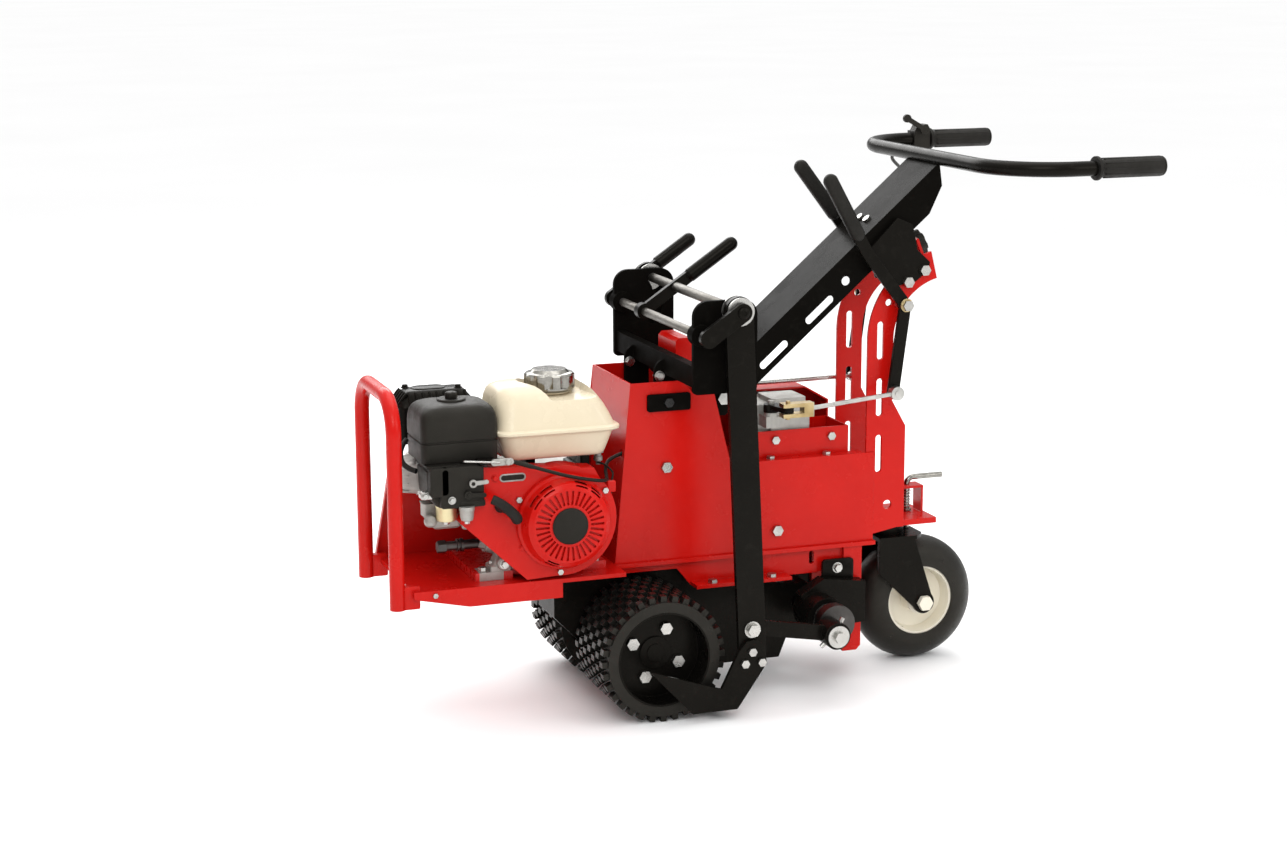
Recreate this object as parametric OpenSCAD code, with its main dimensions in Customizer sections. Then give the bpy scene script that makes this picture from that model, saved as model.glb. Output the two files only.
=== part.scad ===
// Walk-behind sod cutter with an oscillating blade, built as separate bolted and hinged pieces.
// X runs from the front to the rear of the machine, Y to the operator's right, Z up.
// Places are first written from the drive axle, on the ground, and every piece is then moved
// by one shift, so that the origin lies on the ground under the middle of the machine.

/* [Blade and arms] */
// Width over the blade's two side legs
cut_w = 457; // [440:1:475]
// Thickness of the blade's side legs
leg_t = 8; // [6:0.5:9]
// Thickness of the blade's cutting plate
blade_t = 6; // [4:0.5:8]
// Depth of the blade's cutting plate from its edge to its heel
blade_d = 38; // [30:1:40]
// Height of the blade's heel above the ground when it is raised
heel_h = 18; // [14:1:22]
// Thickness of each swinging arm
arm_t = 10; // [8:0.5:11]
// Width of each swinging arm
arm_w = 48; // [42:1:52]
// Thickness of each connecting link
link_t = 10; // [8:0.5:11]
// Throw of the blade's crank
throw_r = 19; // [14:1:22]
// Diameter of the crank discs
crank_d = 66; // [60:1:74]
// Diameter of the crankshaft
crank_shaft_d = 30; // [26:1:34]

/* [Depth linkage] */
// Diameter of the rod that the arms hang from
hang_rod_d = 16; // [14:0.5:18]
// Diameter of the depth shaft
depth_rod_d = 14; // [12:0.5:16]
// Length of the cranks on the depth shaft
depth_crank_r = 70; // [66:1:74]
// Angle of the cranks above level when the blade is raised
depth_rise = 34; // [30:1:38]
// How far the depth levers swing down
depth_swing = 64; // [50:1:66]
// Length of the two depth levers from the depth shaft
depth_lever_l = 205; // [180:1:215]
// Thickness of the hanger plates
hanger_t = 8; // [6:0.5:9]

/* [Drive wheels] */
// Radius of a drive wheel over its lugs
wheel_r = 107; // [104:1:110]
// Width of a drive wheel
wheel_w = 148; // [140:1:150]
// Gap between the two drive wheels
wheel_gap = 104; // [100:1:108]
// Height of the tread lugs
lug_h = 10; // [7:0.5:11]
// Lugs in one row round a wheel
lug_n = 32; // [24:1:36]
// Rows of lugs across a wheel
lug_rows = 7; // [5:1:8]
// How far the wheel disc is set back from the wheel's outer face
dish_d = 48; // [36:1:56]
// Diameter of the drive axle
axle_d = 30; // [26:1:34]

/* [Caster] */
// Radius of the caster tyre
caster_r = 112; // [106:1:114]
// Width of the caster tyre
caster_w = 82; // [74:1:86]
// Distance from the drive axle to the caster's swivel pin
swivel_x = 489; // [486:1:494]
// Trail of the caster wheel behind its swivel pin
caster_trail = 54; // [48:1:58]
// Diameter of the caster's axle
caster_axle_d = 16; // [14:0.5:18]
// Diameter of the caster's lock pin
lock_d = 10; // [8:0.5:12]
// Travel of the lock pin
lock_travel = 16; // [10:1:18]

/* [Frame] */
// Height of the deck's top face above the ground
deck_z = 240; // [238:1:246]
// Thickness of the deck plate
deck_t = 7; // [5:0.5:8]
// Width of the engine end of the deck
deck_w = 250; // [244:1:260]
// Width over the two mast plates
spine_w = 132; // [130:1:136]
// Thickness of the side plates and guards
sheet_t = 3; // [2:0.5:4]
// Thickness of the mast plates
mast_t = 5; // [4:0.5:6]
// Height of the tall guard's open top
guard_h = 545; // [535:1:548]
// Diameter of the bumper tube
bumper_d = 25; // [22:1:28]
// Spacing of the bumper's legs
bumper_w = 218; // [210:1:222]
// Height of the top of the bumper
bumper_h = 565; // [540:1:580]

/* [Handle] */
// Slope of the handle post
post_a = 41; // [40:0.5:42]
// Width of the handle post
post_w = 118; // [114:1:120]
// Depth of the handle post
post_d = 55; // [50:1:58]
// Height of the handlebar
bar_z = 897; // [893:1:901]
// Diameter of the handlebar tube
bar_d = 25; // [22:1:28]
// Spacing of the two handle grips
grip_w = 610; // [590:1:620]
// Diameter of the handle grips
grip_d = 34; // [31:1:38]
// Length of the handle grips
grip_l = 128; // [110:1:132]

/* [Controls] */
// Length of each control lever above its pivot
lever_l = 258; // [230:1:265]
// Length of each control lever's strap below its pivot
strap_l = 151; // [148:1:153]
// Width of the lever bars
lever_w = 21; // [19:1:26]
// Thickness of the lever bars
lever_t = 8; // [6:0.5:9]
// Diameter of the control rods
rod_d = 8; // [6:0.5:10]

/* [Engine and belt] */
// Height of the engine's crankshaft above the deck
crank_h = 98; // [96:1:102]
// Distance of the engine's crankshaft in front of the drive axle
engine_x = 149; // [147:1:151]
// Radius of the recoil starter's cover
recoil_r = 79; // [76:1:81]
// Slots in the recoil starter's cover
recoil_slots = 34; // [24:1:36]
// Diameter of the fuel cap
cap_d = 84; // [70:1:88]
// Pitch radius of the engine pulley
pulley_r = 42; // [38:1:46]
// Pitch radius of the gearbox pulley
input_r = 55; // [50:1:58]
// Width of the drive belt
belt_w = 13; // [10:0.5:14]

/* [Hidden] */
$fn = 48;

// Colours
red = [0.80, 0.07, 0.05];
black = [0.06, 0.06, 0.07];
zinc = [0.75, 0.76, 0.77];
steel = [0.62, 0.63, 0.64];
cream = [0.93, 0.88, 0.75];
alloy = [0.70, 0.70, 0.71];
rubber = [0.10, 0.10, 0.10];
brass = [0.78, 0.66, 0.38];

// Clearances
run_gap = 0.05;     // round pin in its bore, on the radius
side_gap = 0.5;     // flat faces that pass each other
fit_gap = 0.15;     // bent or round pieces that sit against each other
groove_gap = 0.3;   // belt above the bottom of its groove

// Planes across the machine, from the middle outwards
wheel_in = wheel_gap / 2;
wheel_out = wheel_in + wheel_w;
leg_out = cut_w / 2;
arm_out = leg_out - leg_t;
arm_in = arm_out - arm_t;
hanger_out = arm_in - 12.5;
hanger_in = hanger_out - hanger_t;
mast_out = spine_w / 2;
mast_in = mast_out - mast_t;
plate_out = mast_out + sheet_t;
guard_far = 127;
lever_in = plate_out + 13;
lever_out = lever_in + lever_t;

// Depth linkage
depth_axis = [63, 642];
hang_axis = depth_axis + depth_crank_r * [cos(depth_rise), sin(depth_rise)];
hub_d = 40;
hub_gap = 1.5;
disc_t = 3;
hub_in = hanger_out + side_gap + disc_t + hub_gap / 3;
hub_out = arm_out + 3;
disc_out = hub_out + side_gap;
crank_in = disc_out + disc_t + side_gap;
crank_t = 10;
crank_out = crank_in + crank_t;

// Blade drive
arm_pin = [146, 150];
pin_d = 16;
shaft_axis = [317, 130];
eye_axis = shaft_axis + throw_r * [cos(202), sin(202)];
link_out = arm_in - 2;
link_in = link_out - link_t;
eye_d = 46;
eye_in = 182;
eye_out = arm_in + 15;
crank_disc_out = eye_in - side_gap;
crank_disc_in = crank_disc_out - 20;

// Deck and frame
deck_bot = deck_z - deck_t;
deck_x0 = -400;
deck_step = -40;
deck_x1 = 436;
rail_out = plate_out - 5;
rail_t = 6;
rail_z = 190;
front_x = -424;
leg_x0 = 378;
leg_x1 = 412;

// Handle
bar_x = 556;
bar_bend = 118;
grip_y = grip_w / 2;
grip_x1 = 837;
grip_x0 = grip_x1 - grip_l;
post_end = [bar_x - 4, bar_z - 6];
post_l = 574;
post_top_l = 528;

// Control levers
lever_axis = [479, 653];
bolt_a = 65;
strap_a = 262.5;
strap_end = lever_axis + strap_l * [cos(strap_a), sin(strap_a)];

// Caster
caster_axle = [swivel_x + caster_trail, caster_r];
base_z = 258;
base_t = 10;
base_x1 = 560;
crown_z = caster_r * 2 + 5;
crown_t = 7;
fork_t = 7;
fork_in = caster_w / 2 + 6;
lock_x = swivel_x + 42;
bracket_h = 58;
bracket_t = 4;

// Engine
eng = [-engine_x, deck_z + crank_h];
gear_in = [300, 420];
belt_y = 112;
belt_h = 9;
idler_axis = [150, 412];
idler_r = 26;

// The whole machine from bumper to grips, and its middle
machine_x0 = front_x - bumper_d / 2;
machine_x1 = grip_x1;
shift_x = -(machine_x0 + machine_x1) / 2;

// Helpers

// Moves a piece from the drive axle's frame to the machine's own frame.
module place() { translate([shift_x, 0, 0]) children(); }

// Draws children in the X-Z plane and gives them thickness from y0 to y1.
module slab(y0, y1) { translate([0, y1, 0]) rotate([90, 0, 0]) linear_extrude(y1 - y0) children(); }

// The same on both sides of the machine.
module slabs(y0, y1) {
    slab(y0, y1) children();
    slab(-y1, -y0) children();
}

// A round bar along Y at a point of the X-Z plane.
module bar_y(at, y0, y1, d) { translate([at[0], y0, at[1]]) rotate([-90, 0, 0]) cylinder(h = y1 - y0, d = d); }

// Round bars along Y on both sides of the machine.
module bars_y(at, y0, y1, d) {
    bar_y(at, y0, y1, d);
    bar_y(at, -y1, -y0, d);
}

// A hexagon head along Y whose flat seat is at y, standing out to the side given by its sign.
module hex_y(at, y, af, h) {
    translate([at[0], y, at[1]]) rotate([y > 0 ? -90 : 90, 0, 0]) cylinder(h = h, d = af / cos(30), $fn = 6);
}

// A block from one corner to the other.
module block(a, b) { translate(a) cube(b - a); }

// A box with round corners in the plane that it is drawn in.
module round_box(a, b, r) {
    translate([a[0] + r, a[1]]) square([b[0] - a[0] - 2 * r, b[1] - a[1]]);
    translate([a[0], a[1] + r]) square([b[0] - a[0], b[1] - a[1] - 2 * r]);
    for (x = [a[0] + r, b[0] - r], z = [a[1] + r, b[1] - r]) translate([x, z]) circle(r);
}

// A bar with round ends through points; its sides lie a hair inside the round ends.
end_lip = 0.15;
module round_chain(points, w) {
    for (i = [1 : len(points) - 1]) {
        d = points[i] - points[i - 1];
        translate(points[i - 1]) rotate(atan2(d[1], d[0])) translate([0, end_lip - w / 2]) square([norm(d), w - 2 * end_lip]);
    }
    for (p = points) translate(p) circle(d = w);
}
module round_bar(a, b, w) { round_chain([a, b], w); }

// A bent strip of sheet of thickness t, to the left of the line through the points.
function left_of(a, b) = let (d = (b - a) / norm(b - a)) [-d[1], d[0]];
function mitre(p, i, t) =
    i == 0 ? p[0] + t * left_of(p[0], p[1]) :
    i == len(p) - 1 ? p[i] + t * left_of(p[i - 1], p[i]) :
    let (m = left_of(p[i - 1], p[i]), n = left_of(p[i], p[i + 1])) p[i] + t * (m + n) / (1 + m * n);
module strip(p, t) { polygon(concat(p, [for (i = [len(p) - 1:-1:0]) mitre(p, i, t)])); }

// A ring sector about a centre, from angle a0 to angle a1 (less than a half turn).
module sector(c, r0, r1, a0, a1) {
    translate(c) intersection() {
        difference() {
            circle(r1);
            circle(r0);
        }
        far = 3 * r1;
        polygon([[0, 0], far * [cos(a0), sin(a0)], far * [cos((a0 + a1) / 2), sin((a0 + a1) / 2)], far * [cos(a1), sin(a1)]]);
    }
}

// The outline of a loop round two circles, with their outer tangents.
function loop_pts(a, ra, b, rb, n) =
    let (d = b - a, base = atan2(d[1], d[0]), lean = acos((ra - rb) / norm(d)))
    concat([for (i = [0:n]) let (t = base + lean + (360 - 2 * lean) * i / n) a + ra * [cos(t), sin(t)]],
        [for (i = [0:n]) let (t = base - lean + 2 * lean * i / n) b + rb * [cos(t), sin(t)]]);

// A tube swept along a list of points.
function unit(v) = v / norm(v);
function path_dir(p, i) = unit(p[min(i + 1, len(p) - 1)] - p[max(i - 1, 0)]);
function ring(p, i, r, n) =
    let (d = path_dir(p, i), s = unit(cross(d, abs(d[2]) > 0.9 ? [1, 0, 0] : [0, 0, 1])), u = cross(s, d))
    [for (k = [0:n - 1]) p[i] + r * (cos(360 * k / n) * s + sin(360 * k / n) * u)];
module swept(p, r, n) {
    pts = [for (i = [0:len(p) - 1]) each ring(p, i, r, n)];
    last = (len(p) - 1) * n;
    sides = [for (i = [0:len(p) - 2], k = [0:n - 1])
        let (a = i * n + k, b = i * n + (k + 1) % n) each [[a, a + n, b], [b, a + n, b + n]]];
    ends = concat([for (k = [1:n - 2]) [0, k, k + 1]], [for (k = [1:n - 2]) [last, last + k + 1, last + k]]);
    polyhedron(pts, concat(sides, ends));
}

// A smooth curve through a few points, as more points.
function spline_at(a, b, c, d, t) =
    0.5 * (2 * b + (c - a) * t + (2 * a - 5 * b + 4 * c - d) * t * t + (3 * b - a - 3 * c + d) * t * t * t);
function smooth(p, n) = concat([for (i = [0:len(p) - 2], k = [0:n - 1])
    spline_at(p[max(i - 1, 0)], p[i], p[i + 1], p[min(i + 2, len(p) - 1)], k / n)], [p[len(p) - 1]]);

// Frame

// The deck plate, its folded skirts and the lugs that hold the bumper.
module main_deck() {
    skirt = [[deck_x0, deck_bot], [deck_x0, deck_z - 12], [-308, deck_z - 32], [-150, deck_z - 32], [-150, deck_bot]];
    color(red) difference() {
        union() {
            translate([0, 0, deck_bot]) linear_extrude(deck_t) polygon([[deck_x0, -deck_w / 2],
                [deck_step, -deck_w / 2], [deck_step, -plate_out - 7], [deck_x1, -plate_out - 7],
                [deck_x1, -mast_in], [mast_x0, -mast_in], [mast_x0, mast_in], [deck_x1, mast_in],
                [deck_x1, plate_out + 7], [deck_step, plate_out + 7], [deck_step, deck_w / 2], [deck_x0, deck_w / 2]]);
            slabs(deck_w / 2 - 4, deck_w / 2) polygon(skirt);
            slabs(bumper_w / 2 - 7, bumper_w / 2 + 7) round_box([front_x, deck_z - 30], [deck_x0 + 12, deck_z + 8], 3);
        }
        for (y = [-1, 1] * bumper_w / 2)
            translate([front_x, y, deck_z - 60]) cylinder(h = 120, d = bumper_d + 2 * fit_gap);
    }
}

// The rails under the deck, their slots, the angle flanges and the two bearing legs.
module frame_rails() {
    color(red) {
        difference() {
            slabs(rail_out - rail_t, rail_out) polygon([[deck_step, deck_bot], [deck_step, deck_bot - 12], [72, deck_bot - 12], [97, rail_z],
                [330, rail_z], [leg_x1, rail_z + 22], [leg_x1, deck_bot]]);
            for (x = [205, 316]) slabs(rail_out - rail_t - 1, rail_out + 1) round_box([x, rail_z + 16], [x + 9, deck_bot - 4], 4);
        }
        for (s = [-1, 1]) mirror([0, s < 0 ? 1 : 0, 0]) {
            block([97, rail_out, rail_z], [271, rail_out + 31, rail_z + 6]);
            slab(rail_out, rail_out + 8) polygon([[leg_x0, 45], [leg_x1 - 8, 45], [leg_x1, 53], [leg_x1, deck_bot], [leg_x0, deck_bot]]);
        }
    }
}

// The bent tube bumper at the front.
module bumper() {
    bend = 58;
    top = bumper_h - bumper_d / 2;
    foot = deck_z - 30;
    color(red) for (s = [-1, 1]) mirror([0, s < 0 ? 1 : 0, 0]) translate([front_x, 0, 0]) {
        difference() {
            translate([0, bumper_w / 2, foot]) cylinder(h = top - bend - foot, d = bumper_d);
            translate([0, bumper_w / 2, foot - 1]) cylinder(h = 40, d = bumper_d - 5);
        }
        translate([0, bumper_w / 2 - bend, top - bend]) rotate([90, 0, 90]) rotate_extrude(angle = 90)
            translate([bend, 0]) circle(d = bumper_d);
        translate([0, 0, top]) rotate([-90, 0, 0]) cylinder(h = bumper_w / 2 - bend, d = bumper_d);
    }
}

// The left side plate with its tall guard wall, and the low right one. Both fold in at the top.
module side_plates() {
    low = 396;
    near = -40 + sheet_t + side_gap;
    color(red) {
        difference() {
            slab(-plate_out, -mast_out) polygon([[-40, deck_z], [-12, guard_h], [78, guard_h], [97, guard_h - 20],
                [137, guard_h - 25], [165, low + 10], [219, low], [deck_x1 - 2, low], [deck_x1 - 2, deck_z]]);
            bar_y([53, guard_h - 34], -plate_out - 1, 0, 11);
        }
        slab(mast_out, plate_out) polygon([[near, deck_z], [near + 28 * (low - deck_z) / (guard_h - deck_z), low],
            [deck_x1 - 2, low], [deck_x1 - 2, deck_z]]);
        for (s = [-1, 1]) mirror([0, s < 0 ? 1 : 0, 0])
            block([219, mast_out - 22, low - sheet_t], [415, mast_out, low]);
    }
}

// The sloping front plate of the tall guard, cut away where the belt and the throttle cable pass.
module guard_front() {
    color(red) difference() {
        slab(-mast_out, guard_far - sheet_t) polygon([[-40, deck_z], [-40 + sheet_t, deck_z], [-12 + sheet_t, guard_h], [-12, guard_h]]);
        block([-60, belt_y - 18, 285], [20, guard_far, 440]);
        translate([-60, -52, 425]) rotate([0, 90, 0]) cylinder(h = 80, d = 14);
    }
}

// The belt guard on the right side: an outer wall with folded rims, open above the tall guard.
module belt_guard() {
    front = [[deck_x0 - 5, deck_z], [-380, 380], [-330, 428], [-25, 428]];
    tail = [[170, 492], [363, 492], [408, 466], [408, deck_z]];
    color(red) {
        slab(guard_far - sheet_t, guard_far) polygon(concat(front, [[-12, guard_h], [78, guard_h], [97, guard_h - 20],
            [137, guard_h - 25]], tail));
        slab(bumper_w / 2 + 8, guard_far - sheet_t) strip(front, -sheet_t);
        slab(plate_out, guard_far - sheet_t) strip(tail, -sheet_t);
        bar_y(idler_axis, 80, guard_far - sheet_t, 12);
    }
}

// The folded tower inside the guard. The foot of the handle post is bolted between its lugs.
tower_w = 84;
tower_x0 = 78;
tower_x1 = 124;
tower_h = depth_axis[1] - 30;
foot_axis = [156, 508];
module tower() {
    outer = [[tower_x0, deck_z], [tower_x0, tower_h - 6], [tower_x0 + 6, tower_h], [tower_x0 + 26, tower_h],
        [tower_x1, tower_h - 24], [tower_x1, deck_z]];
    color(red) {
        slabs(tower_w / 2 - 4, tower_w / 2) polygon(outer);
        slab(4 - tower_w / 2, tower_w / 2 - 4) strip(outer, -4);
        difference() {
            slabs(tower_w / 2 - 6, tower_w / 2) round_bar([tower_x1, foot_axis[1]], foot_axis, 44);
            slabs(0, tower_w / 2 + 1) square([tower_x1, 2000]);
            bar_y(foot_axis, -tower_w, tower_w, 12 + 2 * fit_gap);
        }
    }
}

// The open tray that the gearbox stands in.
tray_x0 = 225;
tray_x1 = 395;
tray_z = 396;
tray_h = 46;
module tray() {
    w = 46;
    color(red) difference() {
        block([tray_x0, -w, tray_z], [tray_x1, w, tray_z + tray_h]);
        block([tray_x0 - 1, sheet_t - w, tray_z + sheet_t], [tray_x1 - sheet_t, w - sheet_t, tray_z + tray_h + 1]);
        bar_y(gear_in, 0, 100, 42);
    }
}

// The two slotted mast plates, the caster's base plate between them, the lock bracket and the clamp plate.
mast_x0 = 420;
mast_x1 = 494;
mast_w = 48;
mast_c = [574, 590];
tie_axis = [462, 300];
tie_d = 16;
knob_at = [524, 738];
knob_a = 68;
knob_up = [-cos(knob_a), sin(knob_a)];
module mast_2d() {
    r0 = mast_c[0] - mast_x0 - mast_w;
    r1 = mast_c[0] - mast_x0;
    difference() {
        union() {
            polygon([[mast_x0, deck_z], [deck_x1, deck_z + 10], [480, base_z], [mast_x1, base_z], [mast_x1, 438],
                [mast_x0 + mast_w, 484], [mast_x0 + mast_w, mast_c[1]], [mast_x0, mast_c[1]]]);
            sector(mast_c, r0, r1, 104, 180.2);
        }
        for (i = [0:2]) round_bar([443.5, 365 + 99 * i], [443.5, 419 + 99 * i], 12);
        translate([458, 655]) circle(d = 12);
        translate(tie_axis) circle(d = tie_d);
    }
}
module mast_frame() {
    color(red) {
        slabs(mast_in, mast_out) mast_2d();
        difference() {
            block([deck_x1 + 4, -mast_in, base_z], [base_x1, mast_in, base_z + base_t]);
            translate([swivel_x, 0, 0]) cylinder(h = 400, d = 24 + 2 * run_gap);
            translate([lock_x, 0, 0]) cylinder(h = 400, d = lock_d + 2 * run_gap);
        }
        difference() {
            slab(-16, 16) strip([[base_x1 - 4, base_z + base_t], [base_x1 - 4, base_z + bracket_h], [lock_x - 12, base_z + bracket_h]], bracket_t);
            translate([lock_x, 0, 0]) cylinder(h = 400, d = lock_d + 2 * run_gap);
        }
        difference() {
            slab(-mast_in, mast_in) strip([knob_at - 28 * knob_up, knob_at + 26 * knob_up], 5);
            translate([knob_at[0], 0, knob_at[1]]) rotate([0, knob_a, 0]) translate([0, 0, -40]) cylinder(h = 80, d = 10 + 2 * run_gap);
        }
    }
}

// The black hanger frame: two slotted plates, the beam that joins them, and its lugs and base inside the guard.
module hanger_frame() {
    slot_w = hang_rod_d + 2 * side_gap;
    color(black) {
        for (s = [-1, 1]) mirror([0, s < 0 ? 1 : 0, 0]) difference() {
            union() {
                slab(hanger_in, hanger_out) {
                    round_box([50, 545], [161, 640], 8);
                    round_box([50, 600], [161, hang_axis[1] + 16], 26);
                }
                bar_y(depth_axis, hanger_in - 8, hanger_out + 6, 36);
            }
            bar_y(depth_axis, hanger_in - 9, hanger_out + 7, depth_rod_d + 2 * run_gap);
            slab(hanger_in - 1, hanger_out + 1) {
                sector(depth_axis, depth_crank_r - slot_w / 2, depth_crank_r + slot_w / 2, depth_rise - depth_swing, depth_rise);
                for (a = [depth_rise - depth_swing, depth_rise])
                    translate(depth_axis + depth_crank_r * [cos(a), sin(a)]) circle(d = slot_w);
            }
        }
        block([54, -hanger_in, 555], [70, hanger_in, 590]);
        for (y = [-45, 104]) difference() {
            slab(y - 3, y + 3) {
                translate([38, 500]) square([44, 58]);
                translate([60, 558]) circle(d = 44);
            }
            block([54, -200, 555], [70, 200, 590]);
        }
        block([30, -mast_out, 494], [76, guard_far - sheet_t, 500]);
        slab(-plate_out - 5, -plate_out) difference() {
            round_box([17, guard_h - 49], [93, guard_h - 20], 4);
            translate([53, guard_h - 34]) circle(d = 11);
        }
    }
}

// Handle

// Places children along the sloping post: local X runs down from the post's upper end, local Z is square to its top.
module along_post() { translate([post_end[0], 0, post_end[1]]) rotate([0, 180 - post_a, 0]) mirror([0, 0, 1]) children(); }

// The folded channel of the handle post, open below, with slots in its side webs and a slanting upper end.
module handle_post() {
    t = 3;
    web = [[0, 0], [post_top_l, 0], [post_l, -16], [post_l, 8 - post_d], [post_l - 8, -post_d], [70, -post_d], [22, -34]];
    color(black) difference() {
        along_post() post_body(web, t);
        bar_y([bar_x, bar_z], -post_w, post_w, bar_d);
    }
}
module post_body(web, t) {
    difference() {
        union() {
            block([0, -post_w / 2, -t], [post_top_l, post_w / 2, 0]);
            slabs(post_w / 2 - t, post_w / 2) polygon(web);
        }
        for (x = [300, 410]) slabs(post_w / 2 - t - 1, post_w / 2 + 1) round_bar([x, -post_d + 16], [x + 50, -post_d + 16], 14);
        slabs(post_w / 2 - t - 1, post_w / 2 + 1) translate([258, -post_d + 20]) circle(d = 16);
        for (y = [-14, 14]) translate([150, y, -10]) cylinder(h = 20, d = 8.5);
        slabs(post_w / 2 - t - 1, post_w / 2 + 1) translate(post_local(foot_axis)) circle(d = 12 + 2 * fit_gap);
    }
}
function post_local(p) = let (d = p - post_end) [-(d[0] * cos(post_a) + d[1] * sin(post_a)), d[1] * cos(post_a) - d[0] * sin(post_a)];

// The black plates that bolt the post to the tops of the masts.
module post_brackets() {
    plate = [[430, 700], [472, 684], [506, 690], [530, 708], [532, 722], [508, 744], [498, 788], [470, 800], [420, 750]];
    bolts = [for (a = [114, 130]) mast_c + (mast_c[0] - mast_x0 - mast_w / 2) * [cos(a), sin(a)]];
    color(black) difference() {
        union() {
            slabs(mast_out, mast_out + 5) polygon(plate);
            slabs(post_w / 2, mast_out) polygon([[440, 745], [472, 735], [494, 770], [470, 796]]);
        }
        for (b = bolts) bars_y(b, mast_in, mast_out + 10, 10);
    }
}

// The handlebar: a level tube that bends back to both grips.
module handlebar() {
    straight = grip_y - bar_bend;
    color(black) for (s = [-1, 1]) mirror([0, s < 0 ? 1 : 0, 0]) {
        bar_y([bar_x, bar_z], 0, straight, bar_d);
        translate([bar_x + bar_bend, straight, bar_z]) rotate([0, 0, 90]) rotate_extrude(angle = 90)
            translate([bar_bend, 0]) circle(d = bar_d);
        translate([bar_x + bar_bend, grip_y, bar_z]) rotate([0, 90, 0]) cylinder(h = grip_x1 - 4 - bar_x - bar_bend, d = bar_d);
    }
}

// The two rubber grips, with a collar at the inner end.
module handle_grips() {
    color(rubber) for (y = [-grip_y, grip_y]) translate([grip_x0, y, bar_z]) rotate([0, 90, 0]) difference() {
        rotate_extrude() polygon([[0, 0], [grip_d / 2 + 3, 0], [grip_d / 2 + 3, 6], [grip_d / 2 - 3, 9],
            [grip_d / 2 - 3, 13], [grip_d / 2 - 1, 16], [grip_d / 2, grip_l - 4], [grip_d / 2 - 4, grip_l], [0, grip_l]]);
        translate([0, 0, -1]) cylinder(h = grip_l - 3, d = bar_d + 2 * run_gap);
    }
}

// The throttle's clamp box on the right side of the handlebar.
throttle_x = 692;
throttle_pin = [throttle_x - 2, bar_z + 20];
throttle_y = grip_y - 24;
module throttle_box() {
    color(black) difference() {
        union() {
            block([throttle_x - 17, grip_y - 16, bar_z - 16], [throttle_x + 15, grip_y + 14, bar_z + 16]);
            slab(grip_y - 16, grip_y + 6) polygon([[throttle_x - 17, bar_z + 15], [throttle_x + 15, bar_z + 15],
                [throttle_x + 10, bar_z + 28], [throttle_x - 10, bar_z + 28]]);
            bar_y(throttle_pin, throttle_y - 6, grip_y - 15, 8);
        }
        translate([throttle_x - 60, grip_y, bar_z]) rotate([0, 90, 0]) cylinder(h = 120, d = bar_d + 2 * run_gap);
    }
}

// The thumb lever of the throttle.
module throttle_lever() {
    tip = throttle_pin + 42 * [cos(150), sin(150)];
    color(black) slab(throttle_y - 6, throttle_y) difference() {
        union() {
            round_bar(throttle_pin, tip, 9);
            translate(throttle_pin) circle(d = 18);
            translate(tip) circle(d = 15);
        }
        translate(throttle_pin) circle(d = 8 + 2 * run_gap);
    }
}

// The throttle cable, from the handlebar down inside the post, through the guard and round to the engine.
cable_d = 6;
cable_route = [[675, 293, 884], [650, 284, 884], [612, 252, 872], [590, 180, 862], [578, 110, 852], [566, 57, 845],
    [545, 0, 833], [510, -40, 822], [470, -47, 790], [400, -47, 729], [330, -47, 668], [260, -47, 607], [210, -48, 566],
    [180, -50, 545], [156, -51, 526], [130, -52, 505], [80, -52, 462], [30, -52, 438], [-22, -52, 425], [-48, -60, 416],
    [-61, -84, 407], [-69, -112, 402], [-80, -136, 402], [-110, -147, 408], [-150, -148, 418], [-190, -145, 431],
    [-235.4, -140, 446]];
module throttle_cable() { color(black) swept(smooth(cable_route, 3), cable_d / 2, 8); }

// Running gear under the deck

// The black plates that carry the drive axle, with a closing plate in front.
module axle_hangers() {
    y0 = 36;
    t = 8;
    color(black) difference() {
        union() {
            slabs(y0, y0 + t) polygon([[-140, deck_bot], [-140, 150], [-58, 66], [58, 66], [98, 150], [98, deck_bot]]);
            bars_y([0, wheel_r], y0 - 4, y0 + t + 5, 62);
            slab(-y0, y0) strip([[-140, deck_bot], [-140, 150], [-100, 109]], 5);
        }
        bar_y([0, wheel_r], -100, 100, axle_d + 2 * run_gap);
    }
}

// The case over the final drive chain, between the axle plates.
module chain_case() {
    y = 28;
    color(black) difference() {
        slab(-y, y) {
            translate([0, wheel_r]) circle(74);
            polygon([[0, wheel_r - 74], [276, wheel_r - 74], [291, 70], [shaft_axis[0] + 20, shaft_axis[1] - 20],
                [shaft_axis[0] - 10, shaft_axis[1] + 33], [180, rail_z - 6], [20, rail_z - 6], [0, wheel_r + 74]]);
            translate(shaft_axis) circle(34);
            translate([60, rail_z - 7]) square([110, deck_bot - rail_z + 7]);
        }
        bar_y([0, wheel_r], -100, 100, axle_d + 3);
        bar_y(shaft_axis, -100, 100, crank_shaft_d + 3);
    }
}

// The bearings of the blade's crankshaft, carried on the two legs.
module eccentric_bearings() {
    color(black) for (s = [-1, 1]) mirror([0, s < 0 ? 1 : 0, 0]) difference() {
        union() {
            bar_y(shaft_axis, rail_out + 12, 142, 70);
            slab(rail_out + 8, rail_out + 34) polygon([[shaft_axis[0], 96], [leg_x1 - 4, 104], [leg_x1 - 4, 176],
                [shaft_axis[0] + 12, 186], [shaft_axis[0] - 30, 160]]);
        }
        bar_y(shaft_axis, 0, 200, crank_shaft_d + 2 * run_gap);
        bar_y(shaft_axis, 136, 143, 52);
    }
}

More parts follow.
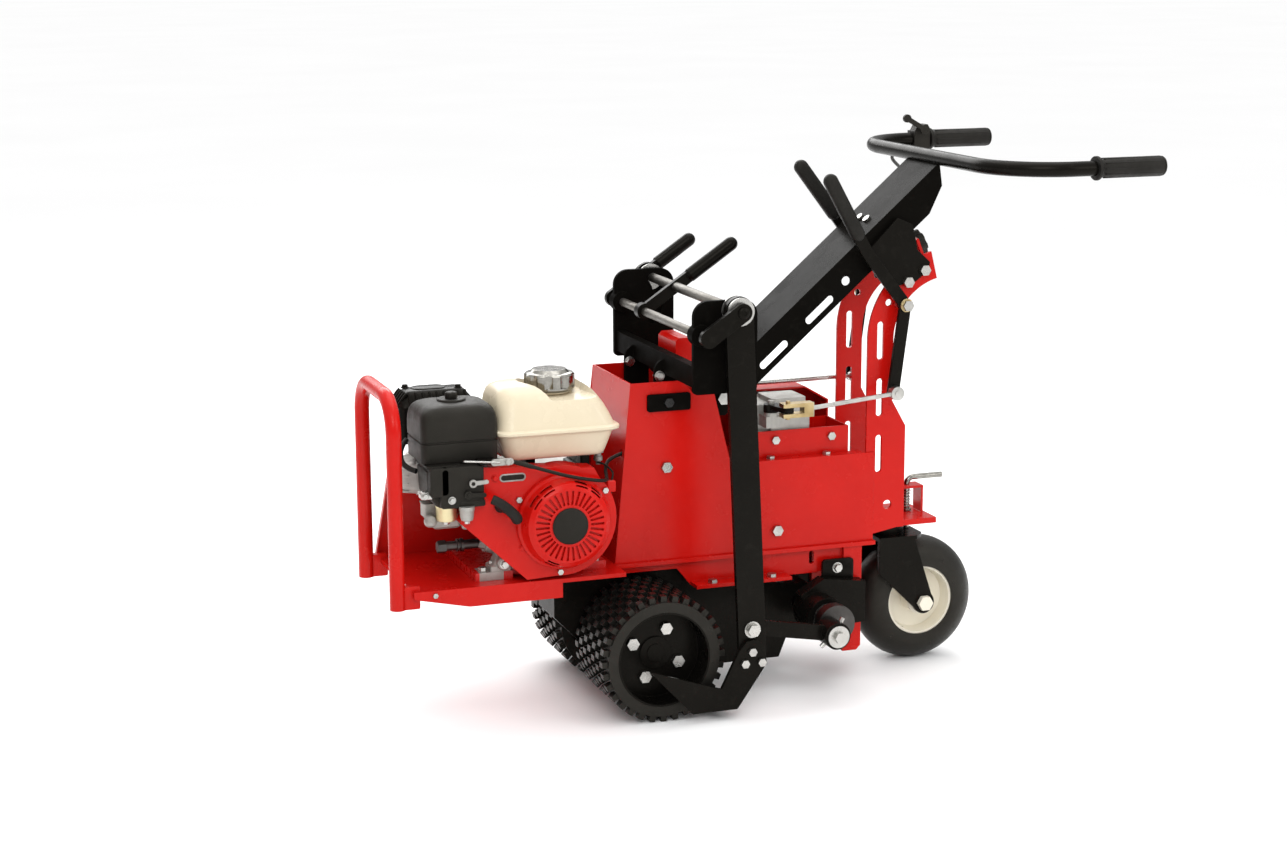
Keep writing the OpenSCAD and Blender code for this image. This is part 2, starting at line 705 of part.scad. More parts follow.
// The gearbox casting in the tray, with its lid and the boss of the shift shaft.
shift_r = 44;
pin_x = 258;
shift_axis = [pin_x - 13, lever_out + 10 - shift_r * cos(17.2)];
shift_z = 484;
module gearbox() {
    color(alloy) difference() {
        union() {
            block([230, -34, tray_z + sheet_t], [318, 30, 486]);
            block([252, -40, 436], [324, 34, 486]);
            translate([0, 0, 486]) linear_extrude(9) round_box([256, -36], [320, 30], 6);
            bar_y(gear_in, 29, 60, 40);
            block([232, -shift_axis[1] - 11, 452], [258, 0, 472]);
            translate([shift_axis[0], -shift_axis[1], 452]) cylinder(h = 26, d = 24);
            translate([shift_axis[0], -shift_axis[1], 452]) cylinder(h = shift_z + 14 - 452, d = 12);
        }
        bar_y(gear_in, 20, 70, 25 + 2 * run_gap);
    }
}

// Engine

// The crankcase, the leaning finned cylinder with its head, the feet and the oil plug.
module engine_block() {
    color(alloy) {
        difference() {
            union() {
                slab(-88, 92) round_box(eng + [-82, -94], eng + [74, 66], 16);
                block([eng[0] - 141, -96, deck_z], [eng[0] - 77, 96, deck_z + 14]);
                block([eng[0] + 46, -88, deck_z], [eng[0] + 86, 108, deck_z + 14]);
                bar_y(eng, 90, 97, 78);
            }
            bar_y(eng, 60, 120, 25 + 2 * run_gap);
        }
        translate([eng[0], 0, eng[1]]) rotate([0, 25, 0]) {
            block([-140, -36, -34], [-60, 40, 34]);
            for (i = [0:6]) block([-86 - 8 * i, -54, -46], [-82 - 8 * i, 56, 46]);
            block([-170, -52, -36], [-140, 56, 36]);
            block([-186, -38, -28], [-170, 42, 28]);
        }
        translate([eng[0] - 76, -60, deck_z + 42]) rotate([0, -70, 0]) {
            cylinder(h = 40, d = 30);
            translate([0, 0, 40]) cylinder(h = 12, d = 24, $fn = 8);
        }
    }
}

// The red fan shroud: a round case about the crankshaft that runs forward over the cylinder.
shroud_y = -126;
module fan_shroud() {
    color(red) difference() {
        slab(shroud_y, -88) {
            translate(eng) circle(recoil_r + 13);
            polygon([eng + [-143, 100], eng + [-173, 10], eng + [-62, -94], eng + [0, -91], eng + [64, 66], eng + [54, 84]]);
        }
        slab(shroud_y - 1, -100) translate(eng) circle(recoil_r - 6);
    }
}

// The recoil starter's domed cover with its ring of slots and two rows of arc vents.
recoil_y = -165;
module recoil_cover() {
    deep = shroud_y - recoil_y;
    r = recoil_r;
    color(red) translate([eng[0], shroud_y, eng[1]]) rotate([90, 0, 0]) difference() {
        rotate_extrude($fn = 72) polygon([[0, deep], [r - 18, deep], [r - 10, deep - 5], [r - 4, 12], [r, 8], [r, 0],
            [r - 4, 0], [r - 8, 10], [r - 14, deep - 8], [0, deep - 4]]);
        for (i = [0:recoil_slots - 1]) rotate(i * 360 / recoil_slots)
            translate([r - 44, -1.9, deep - 5]) cube([23, 3.8, 10]);
        for (a = [38, 62, 112, 134, 236], k = [0:1])
            translate([0, 0, 11]) linear_extrude(deep) sector([0, 0], r - 14 + 4.5 * k, r - 11.5 + 4.5 * k, a, a + 18);
    }
}

// The plain round plate in the middle of the starter's cover.
module recoil_disc() {
    color(black) translate([eng[0], recoil_y, eng[1]]) rotate([90, 0, 0])
        rotate_extrude() polygon([[0, 0], [30, 0], [30, 2], [27, 4], [0, 5]]);
}

// The starter's pull handle, parked against its guide on the cover.
module starter_grip() {
    a = [-272, 386];
    b = [-236, 356];
    color(black) {
        for (p = [a, b]) translate([p[0], recoil_y + 8, p[1]]) sphere(d = 22);
        translate([b[0], recoil_y + 8, b[1]]) rotate([0, atan2(a[0] - b[0], a[1] - b[1]), 0]) cylinder(h = norm(a - b), d = 22);
        bar_y((a + b) / 2, recoil_y + 8, shroud_y, 14);
    }
}

// The fuel tank: two pressed halves that meet at a lip, with a filler neck.
tank_x = [-255, -47];
tank_y = [-120, 40];
tank_lip = eng[1] + 150;
tank_top = tank_lip + 68;
cap_floor = tank_top - 19;
cap_at = [-140, -30];
module tank_half(z0, z1, in0, in1, r) {
    hull() for (x = [0, 1], y = [0, 1]) {
        sx = 1 - 2 * x;
        sy = 1 - 2 * y;
        translate([tank_x[x] + sx * (in0 + r), tank_y[y] + sy * (in0 + r), z0]) cylinder(h = 0.5, r = r, $fn = 32);
        translate([tank_x[x] + sx * (in1 + r), tank_y[y] + sy * (in1 + r), z1 - r]) sphere(r, $fn = 32);
    }
}
module fuel_tank() {
    color(cream) {
        difference() {
            tank_half(tank_lip, tank_top, 6, 22, 24);
            translate([cap_at[0], cap_at[1], cap_floor]) cylinder(h = 40, d = cap_d + 14);
        }
        translate([0, 0, tank_lip - 3]) linear_extrude(6) round_box([tank_x[0], tank_y[0]], [tank_x[1], tank_y[1]], 26);
        translate([0, 0, 2 * tank_lip]) mirror([0, 0, 1]) tank_half(tank_lip, tank_lip + 48, 6, 20, 20);
        translate([cap_at[0], cap_at[1], cap_floor - 3]) cylinder(h = 5, d = cap_d - 14);
        translate([cap_at[0], cap_at[1], cap_floor - 6]) cylinder(h = 22, d = 38);
        for (x = [-190, -96]) block([x, -60, eng[1] + 66], [x + 16, 20, tank_lip - 46]);
    }
}

// The fuel cap, scalloped round its edge.
cap_h = 34;
module fuel_cap() {
    lobes = 10;
    color(zinc) translate([cap_at[0], cap_at[1], cap_floor + 2.3]) difference() {
        rotate_extrude() polygon([[0, 0], [cap_d / 2 - 3, 0], [cap_d / 2, 3], [cap_d / 2, cap_h - 9], [cap_d / 2 - 3, cap_h - 6],
            [cap_d / 2 - 9, cap_h - 5], [cap_d / 2 - 14, cap_h], [0, cap_h]]);
        for (i = [0:lobes - 1]) rotate(i * 360 / lobes) translate([cap_d / 2 + 8, 0, 6]) cylinder(h = 60, r = 11);
        translate([0, 0, -1]) cylinder(h = 16, d = 38 + 2 * run_gap);
    }
}

// The air cleaner: a rounded box on a narrower intake housing.
air_x = [-391, tank_x[0] - 2];
air_y = [-114, -6];
intake_y = -138;
module air_cleaner() {
    r = 14;
    color(black) {
        hull() for (x = [air_x[0] + r, air_x[1] - r], y = [air_y[0] + r, air_y[1] - r]) {
            translate([x, y, 444]) cylinder(h = 1, r = r, $fn = 32);
            translate([x, y, 545 - r]) sphere(r, $fn = 32);
        }
        translate([0, 0, 374]) linear_extrude(70) round_box([air_x[0] + 3, -128], [-324, -57], 8);
        slab(intake_y, -127) round_box([-372, 374], [-284, 444], 6);
        slab(-127, air_y[0] + 1) translate([-372, 436]) square([79, 8]);
        translate([(air_x[0] + air_x[1]) / 2, -58, 544]) {
            cylinder(h = 4, d = 44);
            cylinder(h = 16, d = 20, $fn = 8);
        }
        for (p = [choke_pin, fuel_pin]) bar_y(p, intake_y - 8, intake_y + 3, 6);
    }
}

// Small levers on the intake housing.
choke_pin = [-304, 416];
fuel_pin = [-312, 398];
module small_lever(pin, a, l) {
    color(alloy) slab(intake_y - 7, intake_y - 3) difference() {
        union() {
            round_bar(pin, pin + l * [cos(a), sin(a)], 7);
            translate(pin) circle(d = 13);
        }
        translate(pin) circle(d = 6 + 2 * run_gap);
    }
}
module choke_lever() { small_lever(choke_pin, 4, 22); }
module fuel_lever() { small_lever(fuel_pin, -4, 26); }

// The carburettor: body, bowl and sediment cup behind the intake housing, and the engine's throttle arm.
module carburettor() {
    color(alloy) {
        block([-376, -86, 352], [-298, -57, 374]);
        translate([-350, -71, 318]) cylinder(h = 35, d = 27);
        translate([-350, -71, 312]) cylinder(h = 6, d = 14);
        translate([-313, -71, 322]) cylinder(h = 31, d = 24);
        slab(-143, -137) round_bar([-241, 447], [-268, 447], 11);
        block([-292, -141, 444 + side_gap], [-262, air_y[0], 451]);
    }
}

// The muffler in its slotted heat shield.
module muffler() {
    x = [-375, -242];
    z = [446, 532];
    color(black) difference() {
        slab(44, 122) polygon([[x[0], z[0]], [x[0], z[1] - 26], [x[0] + 26, z[1]], [x[1] - 14, z[1]], [x[1], z[1] - 14], [x[1], z[0]]]);
        for (i = [0:7]) block([x[0] + 30 + 11 * i, 56, z[1] - 5], [x[0] + 35 + 11 * i, 110, z[1] + 1]);
        for (i = [0:4]) block([x[0] - 1, 56, z[0] + 14 + 10 * i], [x[0] + 4, 110, z[0] + 19 + 10 * i]);
    }
    color(black) block([-325, 56, 396], [-285, 62, z[0]]);
}

// Belt drive

// A pulley with a V groove and rims, on its own shaft.
module pulley(at, r, shaft_d, y0, y1) {
    half = belt_w / 2 + 3.5;
    color(steel) {
        translate([at[0], belt_y - half, at[1]]) rotate([-90, 0, 0]) rotate_extrude() polygon([[0, 0], [r + 4, 0], [r + 4, 2.5],
            [r - 4.5 - groove_gap, half - 4], [r - 4.5 - groove_gap, half + 4], [r + 4, 2 * half - 2.5], [r + 4, 2 * half], [0, 2 * half]]);
        bar_y(at, y0, y1, shaft_d);
    }
}
module engine_pulley() { pulley(eng, pulley_r, 25, 62, belt_y + 11); }
module input_pulley() { pulley(gear_in, input_r, 25, 31, belt_y + 11); }

// The drive belt round both pulleys.
module drive_belt() {
    color(rubber) slab(belt_y - belt_w / 2 + 3, belt_y + belt_w / 2 - 3) difference() {
        polygon(loop_pts(eng, pulley_r + 3, gear_in, input_r + 3, 24));
        polygon(loop_pts(eng, pulley_r - 4.5, gear_in, input_r - 4.5, 24));
    }
}

// Drive wheels

// One row of lugs as a toothed outline, turned by half a lug on every second row.
module lug_row(turn) {
    step = 360 / lug_n;
    half = step * 0.29;
    base = wheel_r - lug_h;
    tip = wheel_r / cos(half * 0.8);
    polygon([for (i = [0:lug_n - 1]) let (a = -90 + step * (i + turn)) each [base * [cos(a - half), sin(a - half)],
        tip * [cos(a - half * 0.8), sin(a - half * 0.8)], tip * [cos(a + half * 0.8), sin(a + half * 0.8)],
        base * [cos(a + half), sin(a + half)]]]);
}

// The rubber treads of both drive wheels.
rim_r = 77;
module drive_tyres() {
    pitch = wheel_w / lug_rows;
    color(rubber) for (s = [-1, 1]) mirror([0, s < 0 ? 1 : 0, 0]) translate([0, 0, wheel_r]) difference() {
        union() {
            slab(wheel_in, wheel_out) circle(wheel_r - lug_h, $fn = 96);
            for (i = [0:lug_rows - 1]) slab(wheel_in + pitch * (i + 0.16), wheel_in + pitch * (i + 0.84)) lug_row(i % 2 / 2);
        }
        slab(wheel_in - 1, wheel_out + 1) circle(rim_r + 3 + fit_gap);
    }
}

// The drive axle with its hubs, wheel discs and rims.
bolt_r = 44;
module drive_axle() {
    disc = wheel_out - dish_d;
    color(black) {
        bar_y([0, wheel_r], -disc - 6, disc + 6, axle_d);
        for (s = [-1, 1]) mirror([0, s < 0 ? 1 : 0, 0]) {
            slab(wheel_in, wheel_out) translate([0, wheel_r]) difference() {
                circle(rim_r + 3);
                circle(rim_r);
            }
            slab(disc - 6, disc) translate([0, wheel_r]) difference() {
                circle(rim_r + 0.5);
                for (i = [0:3]) rotate(bolt_a + 90 * i) translate([bolt_r, 0]) circle(d = 12);
            }
            bar_y([0, wheel_r], wheel_in + 8, disc + 4, 54);
        }
    }
}

// Bolts through the wheel discs.
module wheel_bolts() {
    disc = wheel_out - dish_d;
    color(zinc) for (s = [-1, 1], i = [0:3]) {
        at = [0, wheel_r] + bolt_r * [cos(bolt_a + 90 * i), sin(bolt_a + 90 * i)];
        hex_y(at, s * disc, 19, 8);
        mirror([0, s < 0 ? 1 : 0, 0]) bar_y(at, disc - 5.5, disc + 1, 11.4);
    }
}

// Blade drive and blade

// The crankshaft with its two crank discs.
module eccentric_shaft() {
    color(steel) {
        bar_y(shaft_axis, -crank_disc_in, crank_disc_in, crank_shaft_d);
        bars_y(shaft_axis, crank_disc_in, crank_disc_out, crank_d);
    }
}

// The depth shaft with its cranks, and the two depth levers that carry dipped grips.
module depth_levers() {
    lever_y = 75;
    sheath_from = depth_crank_r + hub_d / 2 + 6;
    dir = [cos(depth_rise), sin(depth_rise)];
    color(black) {
        bar_y(depth_axis, -crank_out, crank_out, depth_rod_d);
        difference() {
            union() {
                slab(-crank_out, -crank_in) round_bar(depth_axis, hang_axis, 30);
                slab(crank_in, crank_out) {
                    round_bar(depth_axis, hang_axis, 30);
                    round_bar(hang_axis, depth_axis + (depth_lever_l - 60) * dir, 20);
                }
                slab(lever_y - 5, lever_y + 5) round_bar(depth_axis, depth_axis + (depth_lever_l - 60) * dir, 20);
                bar_y(depth_axis, lever_y - 9, lever_y + 9, 28);
            }
            bar_y(hang_axis, -300, 300, hang_rod_d + 2 * run_gap);
        }
        for (l = [[crank_in + 8, depth_lever_l - 20], [lever_y, depth_lever_l]])
            translate([depth_axis[0], l[0], depth_axis[1]]) rotate([0, 90 - depth_rise, 0]) {
                translate([0, 0, sheath_from]) cylinder(h = 6, d1 = 16, d2 = 24);
                translate([0, 0, sheath_from + 6]) cylinder(h = l[1] - sheath_from - 18, d = 24);
                translate([0, 0, l[1] - 12]) sphere(d = 24);
            }
    }
}

// The rod that the arms hang from, with a disc on each side of each arm.
module hanger_rod() {
    color(zinc) {
        bar_y(hang_axis, -crank_out - 1, crank_out + 1, hang_rod_d);
        bars_y(hang_axis, hanger_out + side_gap, hanger_out + side_gap + disc_t, hub_d + 6);
        bars_y(hang_axis, disc_out, disc_out + disc_t, hub_d + 6);
    }
}

// The two arms, each with a hub on the rod and a hole for the link's pin.
arm_foot = arm_pin + 40 * (arm_pin - hang_axis) / norm(arm_pin - hang_axis);
module cutter_arms() {
    color(black) for (s = [-1, 1]) mirror([0, s < 0 ? 1 : 0, 0]) difference() {
        union() {
            slab(arm_in, arm_out) difference() {
                round_bar(hang_axis, arm_foot, arm_w);
                translate([arm_foot[0] - 100, arm_foot[1] - 100]) square([200, 88]);
            }
            bar_y(hang_axis, hub_in, hub_out, hub_d);
            bar_y(arm_pin, link_in - 4, arm_out, pin_d);
        }
        bar_y(hang_axis, hub_in - 1, hub_out + 1, hang_rod_d + 2 * run_gap);
    }
}

// The blade: a cutting plate with a ground edge between two pointed side legs.
leg_bolts = [[143, 114], [130, 95], [160, 95]];
module blade() {
    leg = [[-36, heel_h + 80], [39, heel_h], [118, heel_h], [170, 92], [165, 122], [152, 134], [134, 132], [121, 117],
        [90, heel_h + 37], [76, heel_h + 41]];
    back = 118;
    color(black) {
        difference() {
            slabs(arm_out, leg_out) polygon(leg);
            for (b = leg_bolts) bars_y(b, arm_in, leg_out + 1, 10);
        }
        slab(-arm_out, arm_out) polygon([[back - blade_d, heel_h], [back, heel_h], [back, heel_h + blade_t],
            [back - blade_d + 14, heel_h + blade_t]]);
    }
}

// Bolt heads on the blade's legs and on the link pins.
module cutter_bolts() {
    color(zinc) for (s = [-1, 1]) {
        for (b = leg_bolts) {
            hex_y(b, s * leg_out, 13, 6);
            mirror([0, s < 0 ? 1 : 0, 0]) bar_y(b, arm_out + 0.5, leg_out + 0.5, 9.4);
        }
        mirror([0, s < 0 ? 1 : 0, 0]) bar_y(arm_pin, arm_out, arm_out + 3, 28);
        hex_y(arm_pin, s * (arm_out + 3), 19, 9);
    }
}

// The links from the arms to the crank pins, each with a long bearing eye.
module links() {
    color(black) for (s = [-1, 1]) mirror([0, s < 0 ? 1 : 0, 0]) difference() {
        union() {
            slab(link_in, link_out) round_bar(arm_pin, eye_axis, 26);
            bar_y(arm_pin, link_in, link_out, 38);
            bar_y(eye_axis, eye_in, eye_out, eye_d);
        }
        bar_y(arm_pin, link_in - 1, link_out + 1, pin_d + 2 * run_gap);
    }
}

// The washer and bolt on the end of each crank pin, and the grease nipples.
module link_caps() {
    color(zinc) for (s = [-1, 1]) {
        mirror([0, s < 0 ? 1 : 0, 0]) bar_y(eye_axis, eye_out, eye_out + 4, 38);
        hex_y(eye_axis, s * (eye_out + 4), 17, 8);
        for (a = [60, 220]) mirror([0, s < 0 ? 1 : 0, 0])
            translate([eye_axis[0], eye_out - 16, eye_axis[1]]) rotate([0, 90 - a, 0]) translate([0, 0, eye_d / 2 + fit_gap]) cylinder(h = 8, d = 8);
    }
}

// Controls

// A bell-crank lever on one side of the mast: a bar with a dipped grip above its pivot and a strap below it.
module control_lever(s, bend_r, bend_a, tip_a) {
    bend = lever_axis + bend_r * [cos(bend_a), sin(bend_a)];
    tip = lever_axis + (lever_l - 2 - 2 * s) * [cos(tip_a), sin(tip_a)];
    up = (tip - bend) / norm(tip - bend);
    color(black) mirror([0, s < 0 ? 1 : 0, 0]) difference() {
        union() {
            slab(lever_in, lever_out) round_chain([bend + 50 * up, bend, lever_axis, strap_end], lever_w);
            slab(lever_in - 5, lever_out + 5) round_bar(tip - 104 * up, tip, lever_w + 4);
        }
        bar_y(lever_axis, lever_in - 10, lever_out + 10, 12 + 2 * run_gap);
        bar_y(strap_end, lever_in - 10, lever_out + 10, 10 + 2 * run_gap);
    }
}
module drive_lever() { control_lever(-1, 117, 128.4, 123.3); }
module clutch_lever() { control_lever(1, 112, 106.7, 118.4); }

// The left rod: a rod end on the strap, the rod, and a fork whose upright pin works the shift arm.
rod_y = lever_out + 10;
fork_z = 494;
module drive_rod() {
    color(zinc) mirror([0, 1, 0]) {
        bar_y(strap_end, lever_in - 1, rod_y + 8, 10);
        bar_y(strap_end, lever_out + side_gap, rod_y + 6, 24);
        span = [pin_x + 40, fork_z - 6] - strap_end;
        translate([strap_end[0], rod_y, strap_end[1]]) rotate([0, atan2(span[0], span[1]), 0]) cylinder(h = norm(span), d = rod_d);
        difference() {
            block([pin_x - 12, rod_y - 10, shift_z - 8], [pin_x + 44, rod_y + 10, shift_z + 16]);
            block([pin_x - 13, rod_y - 11, shift_z - 1.4], [pin_x + 26, rod_y + 11, shift_z + 9.4]);
        }
        translate([pin_x, rod_y, shift_z - 12]) cylinder(h = 32, d = 8);
    }
}

// The shift arm on the gearbox's upright shaft, slotted for the fork's pin.
module shift_arm() {
    a = 17.2;
    color(black) translate([shift_axis[0], -shift_axis[1], shift_z]) rotate([0, 0, -90 + a]) difference() {
        union() {
            linear_extrude(8) round_bar([0, 0], [shift_r, 0], 20);
            translate([0, 0, -5.5]) cylinder(h = 13.5, d = 26);
        }
        translate([0, 0, -10]) cylinder(h = 30, d = 12 + 2 * run_gap);
        translate([0, 0, -1]) linear_extrude(10) round_bar([shift_r - 2.6, 0], [shift_r + 2.6, 0], 10.4);
    }
}

// The right rod, from the strap forward to the idler arm.
clutch_y = plate_out + 8;
idler_pin = idler_axis + [0, 90];
module clutch_rod() {
    span = idler_pin - strap_end;
    color(zinc) {
        bar_y(strap_end, clutch_y - 5, lever_out + 1, 10);
        bar_y(strap_end, clutch_y - 4, clutch_y + 4, 20);
        bar_y(idler_pin, clutch_y - 4, clutch_y + 4, 20);
        bar_y(idler_pin, clutch_y - 4, clutch_y + 12, 10);
        translate([strap_end[0], clutch_y, strap_end[1]]) rotate([0, atan2(span[0], span[1]), 0]) cylinder(h = norm(span), d = rod_d);
    }
}

// The idler arm with its belt pulley.
module idler_arm() {
    wheel_at = idler_axis + [-36, 65];
    color(steel) {
        difference() {
            union() {
                slab(clutch_y + 5, clutch_y + 11) {
                    round_bar(idler_axis, idler_pin, 24);
                    round_bar(idler_axis + [0, 40], wheel_at, 20);
                }
                bar_y(idler_axis, clutch_y + 6, clutch_y + 24, 20);
            }
            bar_y(idler_axis, clutch_y, clutch_y + 30, 12 + 2 * run_gap);
            slab(clutch_y, clutch_y + 30) round_bar(idler_pin - [0, 2], idler_pin + [0, 2], 12.4);
        }
        bar_y(wheel_at, clutch_y + 11, belt_y - 8, 12);
        bar_y(wheel_at, belt_y - 8, belt_y + 8, 2 * idler_r);
    }
}

// The lobed knob that clamps the handle bracket.
module clamp_knob() {
    color(black) translate([knob_at[0], 0, knob_at[1]]) rotate([0, knob_a, 0]) {
        translate([0, 0, -8]) cylinder(h = 34, d = 10);
        translate([0, 0, 12]) difference() {
            cylinder(h = 16, d = 46);
            for (i = [0:6]) rotate(i * 360 / 7) translate([28, 0, -1]) cylinder(h = 20, d = 16);
        }
        translate([0, 0, 0.5]) cylinder(h = 12, d = 22);
    }
}

// Caster

// The fork: a swivel head with its pin, a crown plate with the lock hole, and two legs swept back to the axle.
module caster_fork() {
    color(black) {
        difference() {
            union() {
                intersection() {
                    block([swivel_x - 34, -fork_in - fork_t, crown_z], [lock_x + 14, fork_in + fork_t, crown_z + crown_t]);
                    translate([swivel_x, 0, 0]) cylinder(h = 400, r = 66);
                }
                translate([swivel_x, 0, crown_z]) cylinder(h = base_z - side_gap - crown_z, d = 68);
                translate([swivel_x, 0, crown_z]) cylinder(h = base_z + base_t + 4 - crown_z, d = 24);
            }
            translate([lock_x, 0, 0]) cylinder(h = 400, d = lock_d + 2);
        }
        difference() {
            slabs(fork_in, fork_in + fork_t) {
                polygon([[swivel_x - 34, crown_z + 1], [swivel_x - 34, 172], [caster_axle[0] - 14, caster_axle[1] - 12],
                    [caster_axle[0] + 16, caster_axle[1] + 10], [swivel_x + 34, crown_z + 1]]);
                translate(caster_axle) circle(d = 40);
            }
            bar_y(caster_axle, -100, 100, caster_axle_d + 2 * run_gap);
        }
    }
}

// The caster's tyre, a rounded ring with a raised rib at the bead.
caster_rim_r = 62;
module caster_tyre() {
    w = caster_w / 2;
    color(rubber) translate([caster_axle[0], 0, caster_axle[1]]) rotate([90, 0, 0]) rotate_extrude($fn = 96) difference() {
        union() {
            translate([caster_r - w, 0]) circle(w);
            translate([caster_rim_r, -w + 6]) square([caster_r - w - caster_rim_r, caster_w - 12]);
        }
        translate([0, -w]) square([caster_rim_r + fit_gap, caster_w]);
    }
}

// The caster's pressed rim with its hub and axle bolt.
module caster_rim() {
    w = caster_w / 2;
    r = caster_rim_r;
    color(cream) {
        translate([caster_axle[0], 0, caster_axle[1]]) rotate([90, 0, 0]) rotate_extrude($fn = 72) polygon([[r, -w + 5],
            [r, w - 5], [r - 4, w - 5], [r - 8, 10], [24, 6], [24, w - 2], [caster_axle_d / 2, w - 2], [caster_axle_d / 2, 2 - w],
            [24, 2 - w], [24, -6], [r - 8, -10], [r - 4, 5 - w]]);
        bar_y(caster_axle, -fork_in - fork_t - 2, fork_in + fork_t + 2, caster_axle_d);
        for (s = [-1, 1]) hex_y(caster_axle, s * (fork_in + fork_t + side_gap), 24, 10);
    }
}

// The caster's lock pin with its bent handle and the collar that the spring pushes on.
lock_foot = crown_z + crown_t + 0.4;
lock_bend = 12;
lock_top = base_z + bracket_h + lock_bend + 1;
module lock_pin() {
    color(zinc) {
        translate([lock_x, 0, lock_foot]) cylinder(h = lock_top - lock_bend - lock_foot, d = lock_d);
        translate([lock_x + lock_bend, 0, lock_top - lock_bend]) rotate([90, 0, 0]) rotate([0, 0, 90]) rotate_extrude(angle = 90)
            translate([lock_bend, 0]) circle(d = lock_d);
        translate([lock_x + lock_bend, 0, lock_top]) rotate([0, 90, 0]) cylinder(h = 56, d = lock_d);
        translate([lock_x, 0, base_z + base_t + 2]) cylinder(h = 3, d = lock_d + 8);
    }
}

// The lock pin's spring, between its collar and the top of the bracket.
spring_turns = 7;
spring_wire = 1.6;
spring_r = lock_d / 2 + spring_wire / 2 + 1;
spring_z0 = base_z + base_t + 5.3 + spring_wire / 2;
spring_z1 = base_z + bracket_h - bracket_t - 0.3 - spring_wire / 2;
spring_path = [for (i = [0:8 * spring_turns]) [lock_x + spring_r * cos(45 * i), spring_r * sin(45 * i),
    spring_z0 + (spring_z1 - spring_z0) * i / (8 * spring_turns)]];
echo(spring_least_gap = (spring_z1 - spring_z0) / spring_turns - spring_wire);
module lock_spring() { color(zinc) swept(spring_path, spring_wire / 2, 6); }

// Fasteners of the frame, as separate heads
module frame_bolts() {
    left = -plate_out;
    mast_bolts = [for (a = [114, 130]) mast_c + (mast_c[0] - mast_x0 - mast_w / 2) * [cos(a), sin(a)]];
    color(zinc) {
        for (p = [[51, 400], [253, 273]]) hex_y(p, left, 17, 7);
        hex_y([53, guard_h - 34], left - 5, 15, 7);
        for (x = [258, 362]) {
            hex_y([x, 426], -46, 13, 6);
            translate([x - 12, -56, 396]) cylinder(h = 5, d = 13 / cos(30), $fn = 6);
        }
        for (s = [-1, 1]) {
            for (b = mast_bolts) hex_y(b, s * (mast_out + 5), 17, 8);
            mirror([0, s < 0 ? 1 : 0, 0]) {
                bar_y(lever_axis, mast_out, lever_in - side_gap, 18);
                bar_y(lever_axis, lever_in - side_gap, lever_out + 1, 12);
                bar_y(lever_axis, lever_out + 1, lever_out + 4, 22);
                for (x = [130, 238]) translate([x, rail_out + 20, rail_z + 6]) cylinder(h = 6, d = 15 / cos(30), $fn = 6);
            }
            hex_y(lever_axis, s * (lever_out + 4), 17, 8);
            hex_y(foot_axis, s * (post_w / 2), 19, 8);
            hex_y([-365, deck_z - 8], s * deck_w / 2, 8, 3);
        }
        bar_y(foot_axis, -post_w / 2, post_w / 2, 12);
        for (p = [[-126, -84], [-126, 84], [66, 100]])
            translate([eng[0] + p[0], p[1], deck_z + 14]) cylinder(h = 7, d = 13 / cos(30), $fn = 6);
        for (a = [32, 151, 266]) hex_y(eng + (recoil_r + 6.5) * [cos(a), sin(a)], shroud_y, 9, 5);
        for (y = [-14, 14]) along_post() translate([150, y, 0]) cylinder(h = 4, d = 14);
    }
}

place() main_deck();
place() frame_rails();
place() bumper();
place() side_plates();
place() guard_front();
place() belt_guard();
place() tower();
place() tray();
place() mast_frame();
place() hanger_frame();
place() handle_post();
place() post_brackets();
place() handlebar();
place() handle_grips();
place() throttle_box();
place() axle_hangers();
place() chain_case();
place() eccentric_bearings();
place() gearbox();
place() engine_block();
place() fan_shroud();
place() recoil_cover();
place() recoil_disc();
place() starter_grip();
place() fuel_tank();
place() air_cleaner();
place() carburettor();
place() muffler();
place() throttle_cable();
place() frame_bolts();
place() drive_belt();
place() engine_pulley();
place() input_pulley();
place() drive_axle();
place() drive_tyres();
place() wheel_bolts();
place() eccentric_shaft();
place() depth_levers();
place() hanger_rod();
place() cutter_arms();
place() blade();
place() cutter_bolts();
place() links();
place() link_caps();
place() drive_lever();
place() drive_rod();
place() shift_arm();
place() clutch_lever();
place() clutch_rod();
place() idler_arm();
place() throttle_lever();
place() fuel_cap();
place() choke_lever();
place() fuel_lever();
place() clamp_knob();
place() caster_fork();
place() caster_tyre();
place() caster_rim();
place() lock_pin();
place() lock_spring();
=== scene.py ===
"""The looks of a walk-behind sod cutter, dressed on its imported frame. Lengths are in metres and Z is up."""

import math

import bmesh
import bpy
from mathutils import Matrix, Vector


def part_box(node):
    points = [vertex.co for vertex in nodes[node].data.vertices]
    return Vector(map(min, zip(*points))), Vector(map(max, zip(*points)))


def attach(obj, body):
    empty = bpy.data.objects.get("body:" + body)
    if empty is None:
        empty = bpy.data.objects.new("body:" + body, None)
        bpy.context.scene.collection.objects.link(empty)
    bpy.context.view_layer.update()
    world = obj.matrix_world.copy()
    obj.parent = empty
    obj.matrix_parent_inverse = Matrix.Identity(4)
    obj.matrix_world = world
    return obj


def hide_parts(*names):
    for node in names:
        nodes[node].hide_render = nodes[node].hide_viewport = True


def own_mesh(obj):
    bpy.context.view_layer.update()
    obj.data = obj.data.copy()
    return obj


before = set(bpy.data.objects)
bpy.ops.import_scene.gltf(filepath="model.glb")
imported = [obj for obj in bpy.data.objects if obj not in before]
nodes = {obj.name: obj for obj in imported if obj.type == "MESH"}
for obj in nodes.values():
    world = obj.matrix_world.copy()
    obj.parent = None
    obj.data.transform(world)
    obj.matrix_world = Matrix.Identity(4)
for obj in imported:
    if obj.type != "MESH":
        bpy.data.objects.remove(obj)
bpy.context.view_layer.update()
scene = bpy.context.scene

